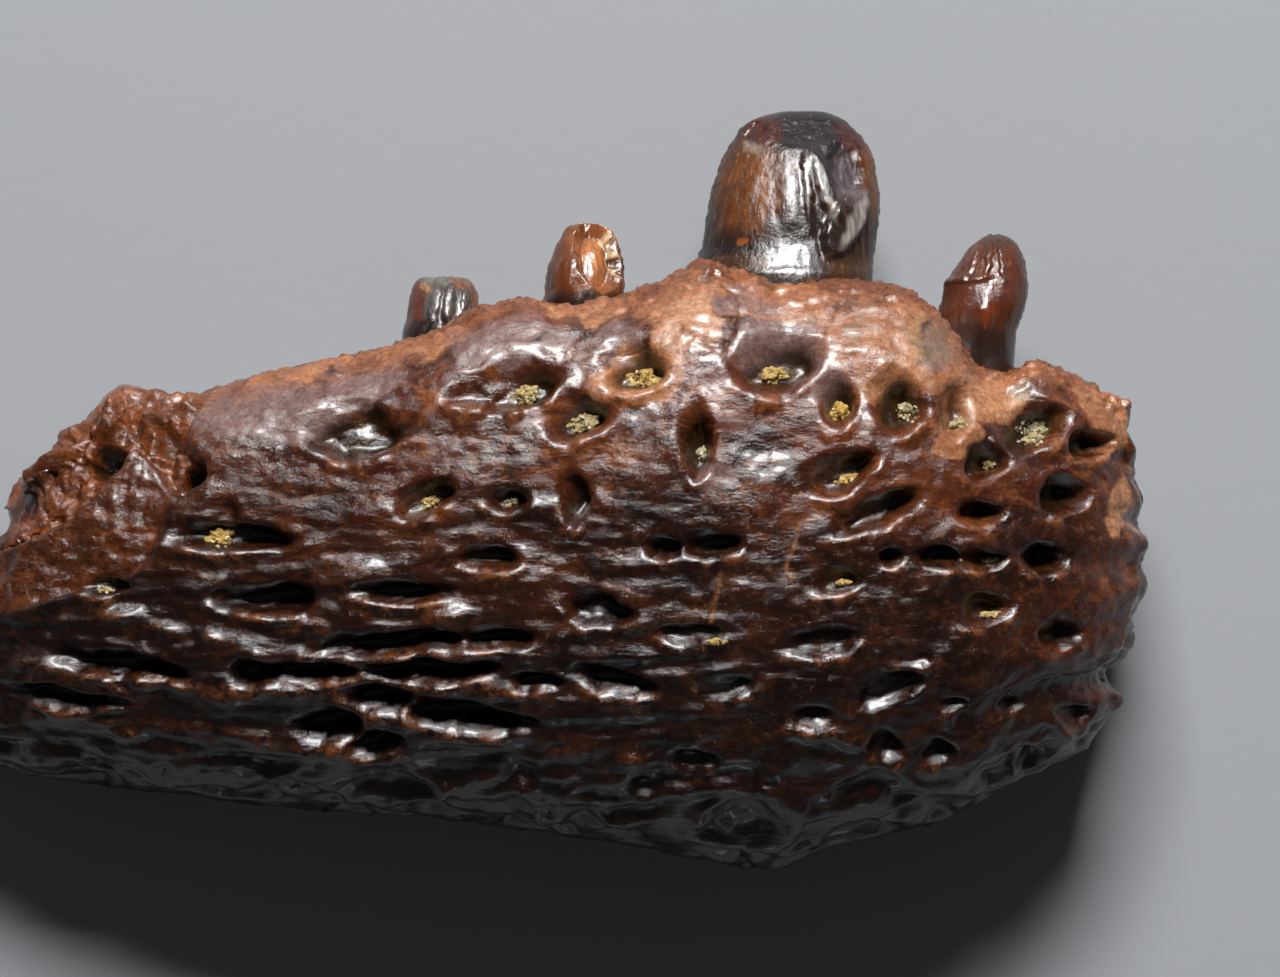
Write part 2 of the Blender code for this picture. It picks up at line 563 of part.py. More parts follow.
def main():
    clear_scene()
    parts = make_collection(COLLECTION_NAME)
    cutters = make_collection(CUTTER_COLLECTION_NAME)
    specimen = bpy.data.objects.new("specimen", None)
    specimen.location = (-FRAME_CENTRE[0] * MM, -FRAME_CENTRE[1] * MM, 0.0)
    parts.objects.link(specimen)

    bone_brown = make_material("bone_brown", BONE_BROWN)
    dark_enamel = make_material("dark_enamel", DARK_ENAMEL)
    amber_enamel = make_material("amber_enamel", AMBER_ENAMEL)
    sand = make_material("sand", SAND_OCHRE)

    bone = make_jaw_bone(parts, specimen, bone_brown)
    place = (bone, parts, cutters, specimen)
    make_tooth("tooth_large", LARGE_TOOTH, LARGE_TOOTH_SIDES, place, dark_enamel, LARGE_TOOTH_FLAKE)
    make_tooth("tooth_chipped", CHIPPED_TOOTH, CHIPPED_TOOTH_SIDES, place, amber_enamel, CHIPPED_TOOTH_CHIP)
    make_tooth("tooth_stub", STUB_TOOTH, SMALL_TOOTH_SIDES, place, dark_enamel)
    make_tooth("tooth_peg", PEG_TOOTH, SMALL_TOOTH_SIDES, place, amber_enamel)
    make_sediment(place, sand)


main()
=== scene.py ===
"""Finish of a fossil jaw fragment: glossy pitted bone, worn teeth and sand lodged in the pits.

Shapes are worked out in millimetres on the outer face: x runs forward to the snout tip, y up
to the biting edge and z outward from the surface that the fragment lies on.
"""
import math
import random

import bmesh
import bpy
import numpy as np
from mathutils import Euler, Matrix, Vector, noise
from mathutils.bvhtree import BVHTree


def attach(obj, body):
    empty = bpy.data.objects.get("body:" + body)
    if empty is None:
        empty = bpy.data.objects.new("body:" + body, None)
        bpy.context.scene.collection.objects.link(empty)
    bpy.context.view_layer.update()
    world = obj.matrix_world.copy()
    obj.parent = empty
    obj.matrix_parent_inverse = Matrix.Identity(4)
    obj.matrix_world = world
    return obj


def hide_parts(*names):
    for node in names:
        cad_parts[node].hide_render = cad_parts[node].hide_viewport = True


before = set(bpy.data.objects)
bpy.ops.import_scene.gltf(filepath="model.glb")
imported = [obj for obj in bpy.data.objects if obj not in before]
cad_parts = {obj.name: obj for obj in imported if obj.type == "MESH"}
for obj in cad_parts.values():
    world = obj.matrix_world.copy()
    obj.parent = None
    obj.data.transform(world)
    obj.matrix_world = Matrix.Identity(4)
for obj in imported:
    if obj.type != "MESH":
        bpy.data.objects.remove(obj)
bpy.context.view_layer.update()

MM = 0.001
BODY = "root"

# The noise that shifts edges would start from the clock otherwise
noise.seed_set(7)

# The frame's origin, as x and y on the outer face
FRAME_CENTRE = (-4.85, 0.15)

# Outline of the outer face, corner to corner: top and bottom as x, y and the two ends as y, x
TOP_EDGE = [
    (-28.5, 3), (-27.2, 4.4), (-26.3, 5.2), (-24.6, 5.1), (-22, 4.9), (-20.9, 5.1), (-19, 5.7), (-15.5, 6.5),
    (-12.8, 7), (-10, 8), (-7.8, 9.1), (-5.8, 9.4), (-3.4, 9.15), (-0.9, 9.6), (2, 10.8), (3.4, 11.3),
    (4.6, 10.9), (7.2, 10.2), (9, 10.3), (11.4, 10.3), (13.9, 9.6), (14.9, 8.6), (16, 7.1), (16.9, 6.1),
    (18.1, 5.8), (19.7, 6.3), (22, 5.4), (24.3, 4.4),
]
BOTTOM_EDGE = [
    (-33.4, -13.6), (-28, -14.6), (-18.3, -15.8), (-8.3, -16.6), (-3.4, -17.3), (2.7, -18.3), (4.7, -18.7),
    (7.4, -18.7), (8.8, -18.1), (12.1, -17.2), (14.9, -16.6), (17, -15.5), (19.4, -14.2), (22.4, -13),
]
FRONT_EDGE = [
    (-13, 22.4), (-12, 23.1), (-10.5, 24), (-9.1, 23.3), (-8.3, 24.4), (-6.5, 24.6), (-4.8, 25.4),
    (-3.9, 25), (-2.75, 25.4), (-1.6, 24.8), (-0.7, 25.1), (0.8, 24.6), (2.6, 24.7), (4.4, 24.3),
]
REAR_EDGE = [
    (-13.6, -33.4), (-12.2, -34.5), (-10.8, -34.1), (-9.4, -35.2), (-7.8, -34.5), (-6.2, -34.8),
    (-4.6, -33.3), (-3, -32.9), (-1.4, -31.3), (0.2, -31.3), (1.6, -29.7), (3, -28.5),
]

# Thickness of the bone along x
THICKNESS = [(-35, 11.5), (-28, 13), (-20, 14.6), (-8, 16.4), (6, 17.4), (16, 16.6), (25, 13.5)]
HALF_LENGTH = 29.5
HALF_HEIGHT = 13.5

# Height of the rim at the bottom and at the top, as a share of the thickness
RIM = (0.45, 0.61)

# Power of each rounded section: 2 is an ellipse, and more is squarer
OUTER_ROUNDNESS = 2.3
INNER_TOP_ROUNDNESS = 2.4
INNER_BOTTOM_ROUNDNESS = 3.0
FRONT_ROUNDNESS = 3.2
REAR_ROUNDNESS = 4.5

# The inner side sinks by this share of the rim's height, down to the floor at most
SYMPHYSIS_CUT = 1.35

# Half as many steps on the inner side as on the outer one
INNER_STEPS_ALONG = 196
INNER_STEPS_UP = 100

# Pits and furrows of the outer face: x, y, half length, half width, tilt in degrees, depth
PITS = [
    (0, 5.95, 1.45, 1.05, 0, 1.3), (7.2, 6.3, 2.1, 1.25, 10, 1.1), (10, 4.3, 0.85, 1.15, 0, 1.1),
    (13.2, 4.2, 1.25, 1.3, 0, 1.3), (15.9, 3.9, 0.8, 1.15, 0, 0.8), (19.9, 3.1, 1.8, 1.2, 5, 1.4),
    (17.4, 1.3, 0.95, 0.7, 0, 1.2), (22.9, 2.2, 1.2, 0.65, 5, 1.2), (21.4, -0.4, 1.1, 0.85, 0, 1.3),
    (3, 2.3, 0.8, 1.6, 0, 1.2), (10.3, 0.9, 1.8, 0.8, 20, 1), (12, -1.1, 2.3, 0.65, 22, 0.9),
    (17.2, -1.3, 1.15, 0.6, 0, 1.1), (12.6, -3.4, 0.6, 0.4, 0, 0.8), (15.2, -3.5, 1.1, 0.5, 0, 1),
    (17.2, -3.4, 1.1, 0.45, 0, 0.8), (20.4, -3.5, 1.1, 0.65, 0, 1.3), (17.5, -6, 1.45, 0.65, 8, 1.2),
    (21.2, -7.3, 1, 0.7, 0, 1.3), (12.6, -9.9, 2, 0.65, 15, 1), (13.8, -8.5, 1.2, 0.5, 10, 0.5),
    (15.6, -10.8, 0.8, 0.35, 0, 0.6), (18.5, -10.8, 0.6, 0.4, 0, 0.6), (21.7, -11.2, 1, 0.45, 0, 0.8),
    (12.2, -12.9, 0.8, 0.7, 0, 0.9), (14.9, -13.1, 0.9, 0.6, 0, 0.9), (19.3, -13.4, 1, 0.45, 20, 0.8),
    (-13.6, 2.85, 2.7, 1.1, 0, 1.1), (-5.7, 5.2, 2.2, 1, 12, 1), (-8, 4.7, 1.4, 0.5, 12, 0.5),
    (-2.8, 3.5, 1.5, 0.95, 15, 1.1), (-10.5, -0.5, 1.6, 0.85, 20, 1), (-6.4, -0.5, 1, 0.6, 0, 0.8),
    (-3.1, -0.6, 0.75, 1.1, 0, 0.9), (-20, -2.4, 3.5, 0.75, -3, 1.1), (-20.6, -1.35, 0.7, 0.9, 0, 0.45),
    (-26.4, -4.9, 1.1, 0.5, 0, 0.9), (-18.2, -5.5, 2.5, 0.75, 0, 1.3), (-7.3, -3.4, 1.4, 0.55, 0, 0.9),
    (-11.5, -5.2, 2.3, 0.5, 0, 0.9), (-11.5, -7.6, 3.5, 0.5, 4, 1.1), (-6.9, -7.4, 1.9, 0.5, 0, 1),
    (-25, -9, 3.2, 0.6, -10, 1.1), (-28, -10.5, 2.8, 0.4, -6, 0.9), (-18.8, -9.2, 1.3, 0.6, 0, 1),
    (-15.6, -9.2, 1.9, 0.5, -4, 1.1), (-9.6, -9.1, 3.2, 0.5, 0, 1.1), (-4.9, -9.7, 1.2, 0.45, -5, 0.8),
    (-12.6, -10.4, 1.6, 0.5, 0, 1), (-15.2, -11.9, 1.6, 0.8, 0, 1), (-8.2, -11.4, 3.4, 0.6, -8, 1.1),
    (-12.9, -12.7, 1.3, 0.5, 0, 0.8), (1.3, -2.9, 0.9, 0.5, 0, 1), (3.9, -2.9, 1.3, 0.6, 0, 1.1),
    (-1.6, -6.1, 1.9, 0.65, -12, 1), (2.8, -7.2, 1.7, 0.5, 0, 0.7), (-0.8, -9.8, 2.2, 0.5, -12, 0.9),
    (4.6, -9.7, 1.2, 0.55, 0, 0.6), (9.3, -7.6, 1.7, 0.65, 10, 0.9), (10, -4.6, 1.2, 0.5, 10, 0.6),
    (8.7, -11.3, 1, 0.45, 0, 0.8), (2.9, -13.4, 1.2, 0.4, 0, 0.8),
]

# Where a pit's wall starts and ends, at its top and at its foot, as shares of its size
PIT_WALL_START = (0.0, 0.62)
PIT_WALL_END = (1.3, 1.02)

# Size of a pit's outline and depth of its floor, at its rear and at its front end
PIT_STRETCH = (1.3, 0.9)
PIT_FLOOR = (0.75, 1.1)
PIT_DEEPENING = 1.3
PIT_UNDERCUT = 0.22
PIT_FRAY = 0.14
PIT_LIP_HEIGHT = 0.2
PIT_LIP_PLACE = 0.3
PIT_LIP_WIDTH = 0.3
PIT_WANDER = (0.3, 1.9)
PIT_FINE_WANDER = (0.05, 0.6)

# The pits of the lower front are shallower by this share
LOW_FRONT_SHALLOWING = 0.45

# Cracks in the outer layer and veins in it, as chains of x, y
CRACKS = [
    [(4, 10.2), (4.8, 9.8), (5.05, 8.8), (5.1, 8.1), (4.5, 7), (4.2, 6.5)],
    [(2, 7.9), (2.9, 7.4), (3.6, 7.2), (4.5, 7)],
    [(-2, 6.5), (-1, 6.8), (0.2, 7.1)],
    [(10.1, 9.4), (9.5, 8.7), (9.1, 7.6)],
]
CRACK_HALF_WIDTH = 0.13
CRACK_DEPTH = 0.16
VEINS = [
    [(7.9, -1.7), (7.6, -2.8), (7.3, -3.7), (7.4, -4.5)],
    [(4, -4.2), (3.6, -5.8), (3.5, -6.7)],
]
VEIN_HALF_WIDTH = 0.16

# Swollen ridges between the furrows, as chains of x, y
RIDGES = [
    [(-30.7, -8.8), (-27.6, -9.5), (-24.1, -9.4), (-22.1, -10.1)],
    [(-26.5, -6.2), (-24.8, -6.5), (-23.1, -7.2)],
    [(-19.8, -6.2), (-17.6, -6.7), (-15.5, -7)],
    [(-13.4, -5.8), (-11.2, -6.1), (-9.1, -6.4)],
    [(-14, -8.6), (-9.7, -8.4), (-8.3, -8.2), (-5.2, -8.2)],
    [(-21.4, -7.5), (-17.9, -8.6), (-14.1, -8.8)],
    [(-21.7, -10.5), (-19, -10.1), (-16.5, -10), (-13.8, -10.6)],
    [(-11.4, -10.2), (-9.5, -9.8), (-6.9, -10.1), (-4.7, -10.2)],
    [(-14.6, -12), (-12.4, -11.4), (-10.5, -12.1), (-7.6, -12.6), (-5.5, -13.4), (-3.6, -13.1)],
    [(-15.3, -12.8), (-14, -13.3), (-12.4, -13.5)],
    [(-5, -13), (-2.5, -13.2), (0, -13.4)],
    [(7.5, -12.1), (9.2, -12.3), (11.1, -12.7)],
    [(-2.7, -10), (-1.5, -10.3), (-0.3, -10.9)],
    [(-30, -11.4), (-25, -12.2), (-20, -12.3), (-16.5, -13.2)],
]
RIDGE_HALF_WIDTH = 0.42
RIDGE_HEIGHT = 0.3

# Thin walls between the hollows of the underside, where the outer side turns under
NET_WALLS = [
    [(-14.7, -15.3), (-12, -15.3), (-10, -15), (-8.2, -14.2)],
    [(-5, -14.4), (0.5, -14.2), (1.6, -15), (5.9, -14.4), (8.6, -13.5), (11.7, -13.4)],
    [(-8.2, -14.2), (-6, -14.6), (-4.8, -16.3), (-3, -16.6), (0.2, -16.1), (3.3, -16.4), (4.3, -17.1)],
    [(5.9, -14.7), (7.5, -15.7), (8.6, -16.1), (10.9, -15.3), (12.9, -14.9)],
    [(-4.2, -15.1), (-1.5, -15.5), (1.6, -15)],
    [(17, -12.8), (20.3, -12.4), (23, -12)],
]
NET_WALL_HALF_WIDTH = 0.3

# Cavities of the flaked rear part: x, y, half length, half width, tilt in degrees, depth
CAVITIES = [
    (-26.9, 1.6, 1.1, 0.75, 55, 1.7), (-22.5, 0.55, 1.15, 0.5, 52, 2), (-23.6, 2.9, 0.5, 0.95, 10, 0.7),
    (-25.5, 3.6, 0.3, 0.9, 15, 0.6),
]

# Lumps between the cavities, given like them, and the ridge between them as x, y
REAR_LUMPS = [
    (-26.6, 4, 1.3, 0.9, 55, 0.7), (-22.3, 4.5, 0.9, 0.55, -15, 0.7), (-23.2, 1.5, 0.4, 0.8, 0, 0.5),
    (-23.8, 4.9, 0.45, 0.4, 0, 0.6),
]
REAR_RIDGE = [(-24.2, 5.2), (-24.6, 3.9), (-24.7, 3.3), (-24.4, 2)]
REAR_RIDGE_HALF_WIDTH = 0.38
REAR_RIDGE_HEIGHT = 0.75

# Upper edge of the level part of the flaked rear, as x, y, and how far that part is sunk
LEVEL_EDGE = [
    (-36, -3), (-31.5, -2.6), (-28.6, -1.4), (-27.4, -0.3), (-26.3, 1.2), (-25.25, 2.45), (-24.4, 1.5),
    (-23.5, 0.3), (-23, -0.5), (-22, 0.4), (-20, 1.5),
]
LEVEL_DEPTH = 0.15

# Paler tan patches and greyer mauve patches of the outer face, the mauve ones partly a painted pale sheen: x,
# y, half length, half width, tilt in degrees
TAN_PATCHES = [
    (-11, 7, 2.4, 0.9, 15), (-2.5, 9.2, 3.2, 0.6, 3), (2.2, 8.8, 2.2, 2.2, 0), (0.2, 5.6, 2.6, 1.8, 0),
    (12.6, 7, 4, 2.3, -15), (7.2, 9.3, 2.8, 1.1, 0), (23.4, 3.6, 1.6, 1.8, 0), (17.2, 4.6, 2.2, 1.2, 0),
    (-21.3, 4.6, 0.7, 0.9, 0), (-17, 5.8, 3.5, 0.7, 15), (24, -1.2, 0.9, 1.6, 0), (16, 2.6, 1, 1.2, 0),
]
MAUVE_AND_SHEEN_PATCHES = [
    (-6.2, 7.2, 3.3, 1.3, 5), (-1.3, 7.6, 1.1, 1, 0), (-18, 3.9, 3.2, 1.4, -5), (7.2, 7.2, 2.8, 1.5, 5),
    (9.3, 5.2, 1.2, 1.3, 0), (14.8, 7.4, 1.2, 1.3, 0), (5.6, 9.4, 2, 0.8, 0), (-14, 5.2, 2.5, 1.2, 10),
    (-20.9, 3.7, 1.3, 1.6, 0), (3.3, 0.5, 1.2, 0.9, 0),
]

# Darker ground, grey-green stains and small black spots: x, y, half length, half width, tilt in degrees
DARK_PATCHES = [
    (-5.5, -1.5, 3.2, 2, 0), (0, -2.6, 6.2, 3, 0), (10.5, -4.6, 7.2, 3.2, -5), (0, -9.5, 8, 3, 0),
    (12, -9.8, 9, 3.6, 0), (19.5, -3.4, 3.2, 3.4, 0), (6.2, 1.4, 2.6, 1, 0), (-14, -11.4, 8, 1.4, 0),
]
STAINS = [(14.4, 7.3, 1.1, 1.3, 30), (10.6, 7.9, 0.8, 0.5, 40), (19.2, 4.8, 0.9, 0.4, 0)]
DARK_SPOTS = [(-15.4, 6, 0.32, 0.26, 0), (-4.9, 7.5, 0.5, 0.14, 30), (14.2, 8.1, 0.3, 0.2, 60)]

# Rear part whose smooth outer layer has flaked away: the layer's broken edge, as y, x
BROKEN_EDGE = [
    (-6.5, -32), (-5.2, -28), (-4.4, -25.3), (-3, -24), (-0.4, -23.1), (1.2, -21.9), (2.5, -22.5),
    (4, -21.8), (6, -20.8),
]
BROKEN_DEPTH = 0.9

# Relief as layers of noise, each given by its height, grain and octaves
BROKEN_RELIEF = [(0.5, 2.6, 1), (0.3, (0.35, 1.4, 0.8), 2)]
REAR_BREAK = [(1.6, 2.4, 1)]
SWELLING = [(0.26, (4.0, 2.4, 4.0), 1)]
LENGTHWISE_FOLDS = [(0.2, (4.0, 0.8, 2.5), 2)]
CREST_CRUMBS = [(0.26, 0.5, 3), (0.2, 1.6, 1)]
BONE_SKIN = [(0.09, (1.3, 0.8, 1.0), 2), (0.04, 0.4, 2)]
ENAMEL_FLUTES = [(0.021, (0.45, 7.0, 0.45), 1), (0.015, (0.2, 4.0, 0.2), 1)]
ENAMEL_SKIN = [(0.015, 0.7, 3)]
KEEL_CHIPS = [(0.07, 0.3, 1)]

# Net of low ridges that covers the underside and the snout tip
NET_RIDGE_HEIGHT = 0.2
NET_DEPTH = 0.75
NET_WALL_HEIGHT = 0.3
NET_CELL = (4.2, 2.6, 3.0)

# Groove along the inner side: x, y, half width, depth; and the recess above it
INNER_GROOVE = [
    (-36.0, -6.0, 2.8, 4.0), (-20.0, -5.4, 2.7, 3.6), (-8.0, -4.6, 2.2, 2.6), (1.0, -4.4, 1.0, 0.0),
]
INNER_RECESS_DEPTH = 2.2
INNER_RECESS_FRONT = (3.0, -6.0)
INNER_RECESS_FOOT = (-9.0, -6.5)
INNER_WANDER = (1.6, 7.0)

# Empty sockets in the biting edge: x, z, half length, half width, tilt in degrees, depth
EMPTY_SOCKETS = [
    (-23.4, 7, 1.5, 1.6, 0, 1.2), (-16.6, 7.4, 1.7, 1.7, 0, 1.3), (12.9, 6.6, 1.1, 1.6, 0, 1),
    (21.6, 5.2, 1.3, 1.5, 0, 1.2),
]

# Teeth from root tip to crown tip: y, left x, right x, and z of the outer and of the inner side
LARGE_TOOTH = [
    (1.6, 5.6, 9, 8.5, 5.5), (4.5, 3.7, 10.9, 9.6, 4.4), (8, 3, 11.6, 10.2, 4),
    (10.4, 2.8, 11.7, 10.05, 3.85), (11.3, 2.8, 11.7, 9.7, 3.8), (12.2, 3.1, 11.85, 9.32, 3.75),
    (13.4, 3.3, 12, 9, 3.7), (14.6, 3.5, 12.05, 8.6, 3.65), (15.7, 3.8, 11.9, 8.15, 3.65),
    (16.7, 4.2, 11.7, 7.7, 3.7), (17.5, 4.65, 11.3, 7.2, 3.85), (18.2, 5.15, 10.7, 6.6, 4.1),
    (18.65, 5.9, 10.1, 6.1, 4.4), (18.95, 7, 9.3, 5.5, 4.8), (19, 7.9, 8.5, 5.2, 5.1),
]
CHIPPED_TOOTH = [
    (3.6, -4.1, -1.9, 7.8, 6), (5.8, -4.7, -1.2, 8.4, 5.4), (8.4, -4.95, -0.95, 8.6, 5.15),
    (9.3, -4.9, -0.9, 8.6, 5.1), (10, -4.75, -0.8, 8.5, 5.1), (10.9, -4.7, -0.78, 8.3, 5.1),
    (11.6, -4.45, -0.9, 8, 5.1), (12.2, -4.2, -1.05, 7.7, 5.15), (12.8, -3.9, -1.3, 7.2, 5.35),
    (13.15, -3.65, -1.7, 6.8, 5.6), (13.3, -3.2, -2.1, 6.4, 5.85), (13.33, -2.8, -2.5, 6.15, 6),
]
STUB_TOOTH = [
    (3.4, -11.2, -8.9, 7.6, 5.8), (5.6, -11.8, -8.3, 8.2, 5.2), (7.6, -11.95, -8.1, 8.3, 5),
    (8.5, -11.75, -8.1, 8.1, 4.98), (9.3, -11.65, -8.1, 7.75, 5), (9.9, -11.5, -8.2, 7.4, 5.1),
    (10.3, -11.35, -8.4, 7, 5.3), (10.58, -11, -8.8, 6.5, 5.6), (10.62, -10.3, -9.4, 6.1, 5.9),
]
PEG_TOOTH = [
    (1.4, 15.9, 18.1, 7.8, 6), (3.8, 15.2, 18.6, 8.4, 5.4), (6.3, 14.95, 18.8, 8.65, 5.15),
    (7.8, 14.85, 18.9, 8.75, 5.1), (8.7, 14.9, 19.2, 8.8, 5.05), (9.5, 15.15, 19.45, 8.7, 5.05),
    (10.3, 15.25, 19.5, 8.45, 5.1), (10.7, 15.6, 19.45, 8.25, 5.1), (11.3, 16, 19.35, 7.9, 5.15),
    (11.9, 16.4, 19.15, 7.45, 5.25), (12.4, 16.9, 18.85, 6.95, 5.5), (12.7, 17.4, 18.4, 6.4, 5.8),
    (12.75, 17.75, 18.05, 6.15, 5.95),
]
CARINA_SHARPNESS = 1.2

# Ridges and flakes of the crowns: x, y, half length, half width, tilt in degrees, height, softness
LARGE_FACETS = [
    (7.5, 14.8, 1.5, 0.5, 92, 0.12, 0.8), (8.4, 15.2, 1.7, 0.22, 94, 0.16, 0.5),
    (9.25, 15.2, 1.8, 0.42, 108, 0.26, 0.4), (10.25, 13.3, 1.9, 0.8, 64, 0.4, 0.14),
    (10.4, 16, 1.3, 0.7, 100, -0.25, 0.5), (8.3, 18, 1.3, 0.7, 0, -0.15, 0.5),
    (8.95, 12.7, 1, 0.22, 100, -0.12, 0.4), (5.8, 17.8, 0.7, 0.5, 60, -0.12, 0.2),
]
CHIPPED_FACETS = [(-2.1, 11.75, 1.8, 1.1, -72, -0.75, 0.1), (-3.8, 10.6, 1.2, 0.5, 75, 0.12, 0.4)]
STUB_FACETS = [
    (-10.3, 9.2, 1.3, 0.28, 80, 0.16, 0.4), (-9.6, 9.3, 1.2, 0.25, 85, 0.2, 0.4),
    (-8.8, 9.5, 0.8, 0.2, 75, 0.16, 0.4),
]
PEG_FACETS = [
    (17.5, 11.6, 1.2, 0.16, 84, 0.13, 0.4), (18.15, 11.5, 1.2, 0.18, 95, 0.13, 0.4),
    (16.6, 11.2, 1.1, 0.16, 68, 0.1, 0.4), (17.2, 8.4, 0.9, 0.45, 80, 0.15, 0.4),
    (16.4, 10.45, 1.2, 0.18, 5, 0.12, 0.4),
]

# Ground tone of each crown, then its patches: tone, strength, softness, x, y, half length,
# half width, tilt in degrees
LARGE_TONES = [
    (46, 28, 19),
    ((100, 58, 29), 0.95, 0.5, 5.6, 15.1, 2.3, 1.5, 82), ((28, 19, 15), 0.85, 0.4, 5, 11.6, 2.3, 1.1, 0),
    ((28, 24, 26), 0.95, 0.4, 8.6, 18.1, 2.3, 1.4, 0), ((66, 26, 18), 0.8, 0.4, 6.2, 18, 0.9, 0.8, 60),
    ((64, 27, 20), 0.75, 0.4, 10.7, 17.5, 1.1, 0.5, -45), ((34, 30, 32), 0.9, 0.4, 9.7, 16.3, 1.6, 0.8, 108),
    ((92, 82, 84), 0.75, 0.45, 10.5, 15.4, 1.3, 0.65, 100),
    ((96, 56, 30), 0.9, 0.4, 11.6, 15.4, 2, 0.45, 95), ((130, 118, 104), 0.6, 0.35, 5.6, 17.2, 0.35, 0.3, 0),
    ((34, 26, 22), 0.85, 0.3, 8.2, 12.6, 1.3, 1.9, 90),
    # The pale grey flake at 10.6, 13.3 is partly the flaked enamel's own tone, partly a painted reflection
    ((146, 140, 134), 0.7, 0.4, 10.6, 13.3, 1.5, 0.34, 66),
    ((66, 44, 28), 0.8, 0.4, 10.6, 10.9, 1.3, 0.8, 0), ((84, 56, 34), 0.5, 0.4, 5.2, 11.3, 1.3, 0.5, 0),
    ((132, 66, 25), 0.9, 0.3, 5.15, 12.35, 0.2, 0.2, 40),
    # Painted highlights: the pale streaks on the ridges below and the small pale glint at 7.85, 16.1
    ((150, 146, 142), 0.6, 0.4, 7.6, 14.9, 1.4, 0.17, 96),
    ((150, 146, 142), 0.6, 0.4, 9.15, 15, 1.6, 0.2, 108),
    ((150, 146, 142), 0.5, 0.4, 8.4, 15.6, 1.2, 0.08, 94),
    # Painted shade: the near-black patches at 3, 13 and at 12, 11.6 darken the crown's two sides
    ((150, 142, 124), 0.9, 0.3, 7.85, 16.1, 0.16, 0.13, 60), ((30, 22, 18), 0.8, 0.5, 3, 13, 3.5, 0.45, 86),
    ((30, 22, 18), 0.7, 0.5, 12, 11.6, 2.2, 0.35, 90),
]
CHIPPED_TONES = [
    (90, 47, 22),
    ((76, 40, 22), 0.85, 0.5, -4.4, 10.8, 1.8, 0.35, 85),
    ((130, 78, 44), 0.9, 0.5, -1.9, 10.9, 1.3, 0.8, -80),
    ((162, 100, 58), 0.9, 0.6, -2.3, 12.3, 1, 0.95, -40), ((30, 20, 17), 0.95, 0.4, -2.9, 9.1, 2.4, 0.75, 0),
    # Painted highlight: the thin pale line along the chip's rim and the pale spot at its top
    ((194, 166, 128), 0.85, 0.4, -1.05, 11.5, 1.2, 0.07, 98),
    ((206, 178, 140), 0.6, 0.4, -1.6, 12.75, 0.35, 0.14, -30),
    ((58, 34, 22), 0.7, 0.5, -0.75, 10.6, 1.5, 0.2, 95),
]
STUB_TONES = [
    # The grey ground tone is partly the worn crown's own, partly a painted broad sheen
    (80, 72, 67),
    ((80, 40, 26), 0.95, 0.4, -11.3, 9, 1.5, 0.5, 85), ((120, 68, 34), 0.9, 0.4, -8.25, 9.2, 1.2, 0.25, 90),
    ((92, 90, 80), 0.9, 0.3, -10, 10.5, 0.9, 0.22, 0), ((120, 66, 34), 0.7, 0.5, -9, 10.3, 0.6, 0.22, -25),
    ((30, 20, 17), 0.9, 0.3, -10.8, 8, 1.6, 0.6, 20), ((150, 104, 72), 0.6, 0.4, -10.75, 10.1, 0.2, 0.25, 0),
]
PEG_TONES = [
    (78, 39, 19),
    ((60, 34, 22), 0.9, 0.5, 18, 12.5, 1, 0.45, 0), ((80, 45, 35), 0.85, 0.5, 17.2, 9.8, 1.9, 0.6, 0),
    ((38, 28, 23), 0.97, 0.5, 17, 6, 2.8, 2.3, 0), ((98, 46, 22), 0.7, 0.5, 17.6, 8.7, 0.7, 0.7, 90),
    ((66, 36, 22), 0.85, 0.5, 19.3, 10.6, 1.8, 0.4, 95), ((72, 40, 24), 0.8, 0.5, 15.4, 9.8, 1.1, 0.4, 80),
]

# Sand stuck in pits: x, y, half length, half width, tilt in degrees, yellowness
SEDIMENT_PLUGS = [
    (0.1, 5.4, 0.75, 0.42, 0, 0.9), (6.5, 5.6, 0.6, 0.35, 10, 0.8), (9.9, 3.7, 0.42, 0.4, 0, 1),
    (13.3, 3.7, 0.6, 0.5, 0, 0.3), (19.4, 2.8, 0.8, 0.6, 20, 0.1), (-2.9, 3.2, 0.75, 0.42, 15, 0.4),
    (-20.8, -2.5, 0.6, 0.45, 10, 0.9), (-5.7, 4.6, 0.6, 0.4, 10, 0.5),
]
LOOSE_SAND = [
    (3.05, 1.6, 0.25, 0.4, 0, 0.1), (17.4, 1.2, 0.3, 0.25, 0, 0.6), (15.9, 3.25, 0.4, 0.25, 0, 0.3),
    (10.2, 0.45, 0.6, 0.2, 20, 0.9), (-10.4, -0.75, 0.4, 0.3, 20, 0.7), (-6.4, -0.7, 0.3, 0.25, 0, 0.1),
    (-26.6, -5.1, 0.4, 0.2, 0, 0.5), (10, -4.7, 0.3, 0.15, 0, 0.8), (3.9, -7.6, 0.4, 0.15, 0, 0.7),
    (19.6, 2.4, 0.5, 0.3, 0, 0.3), (17.4, -3.6, 0.4, 0.15, 0, 0.3), (17.3, -6.3, 0.5, 0.15, 0, 0.6),
]
SAND_GRAINS_PER_MM2 = 26
SAND_GRAIN_RADIUS = (0.05, 0.13)
SAND_HEAP = 0.24

# Lights: name, place and aim in metres, size, power in watts, colour
LIGHTS = [
    ("key", (0.03, 0.40, 0.36), (0, 0, 0.01), (0.26, 0.14), 7.0, (1, 1, 1)),
    ("low_glint", (0.05, -0.42, 0.10), (0, 0, 0.006), (0.16, 0.05), 0.1, (0.9, 0.95, 1)),
]
WORLD_COLOUR = (0.53, 0.52, 0.52, 1)
WORLD_STRENGTH = 0.11

# The camera looks straight down on the outer face and takes in 64 mm across at mid-depth
CAMERA_DISTANCE = 700.0
FOCUS_HEIGHT = 10.0
VIEW_WIDTH = 64.0
SENSOR_WIDTH = 36.0


def shade(red, green, blue):
    """Linear colour of a tone given as it looks on a screen, 0 to 255."""
    return tuple((value / 255) ** 2.2 for value in (red, green, blue))


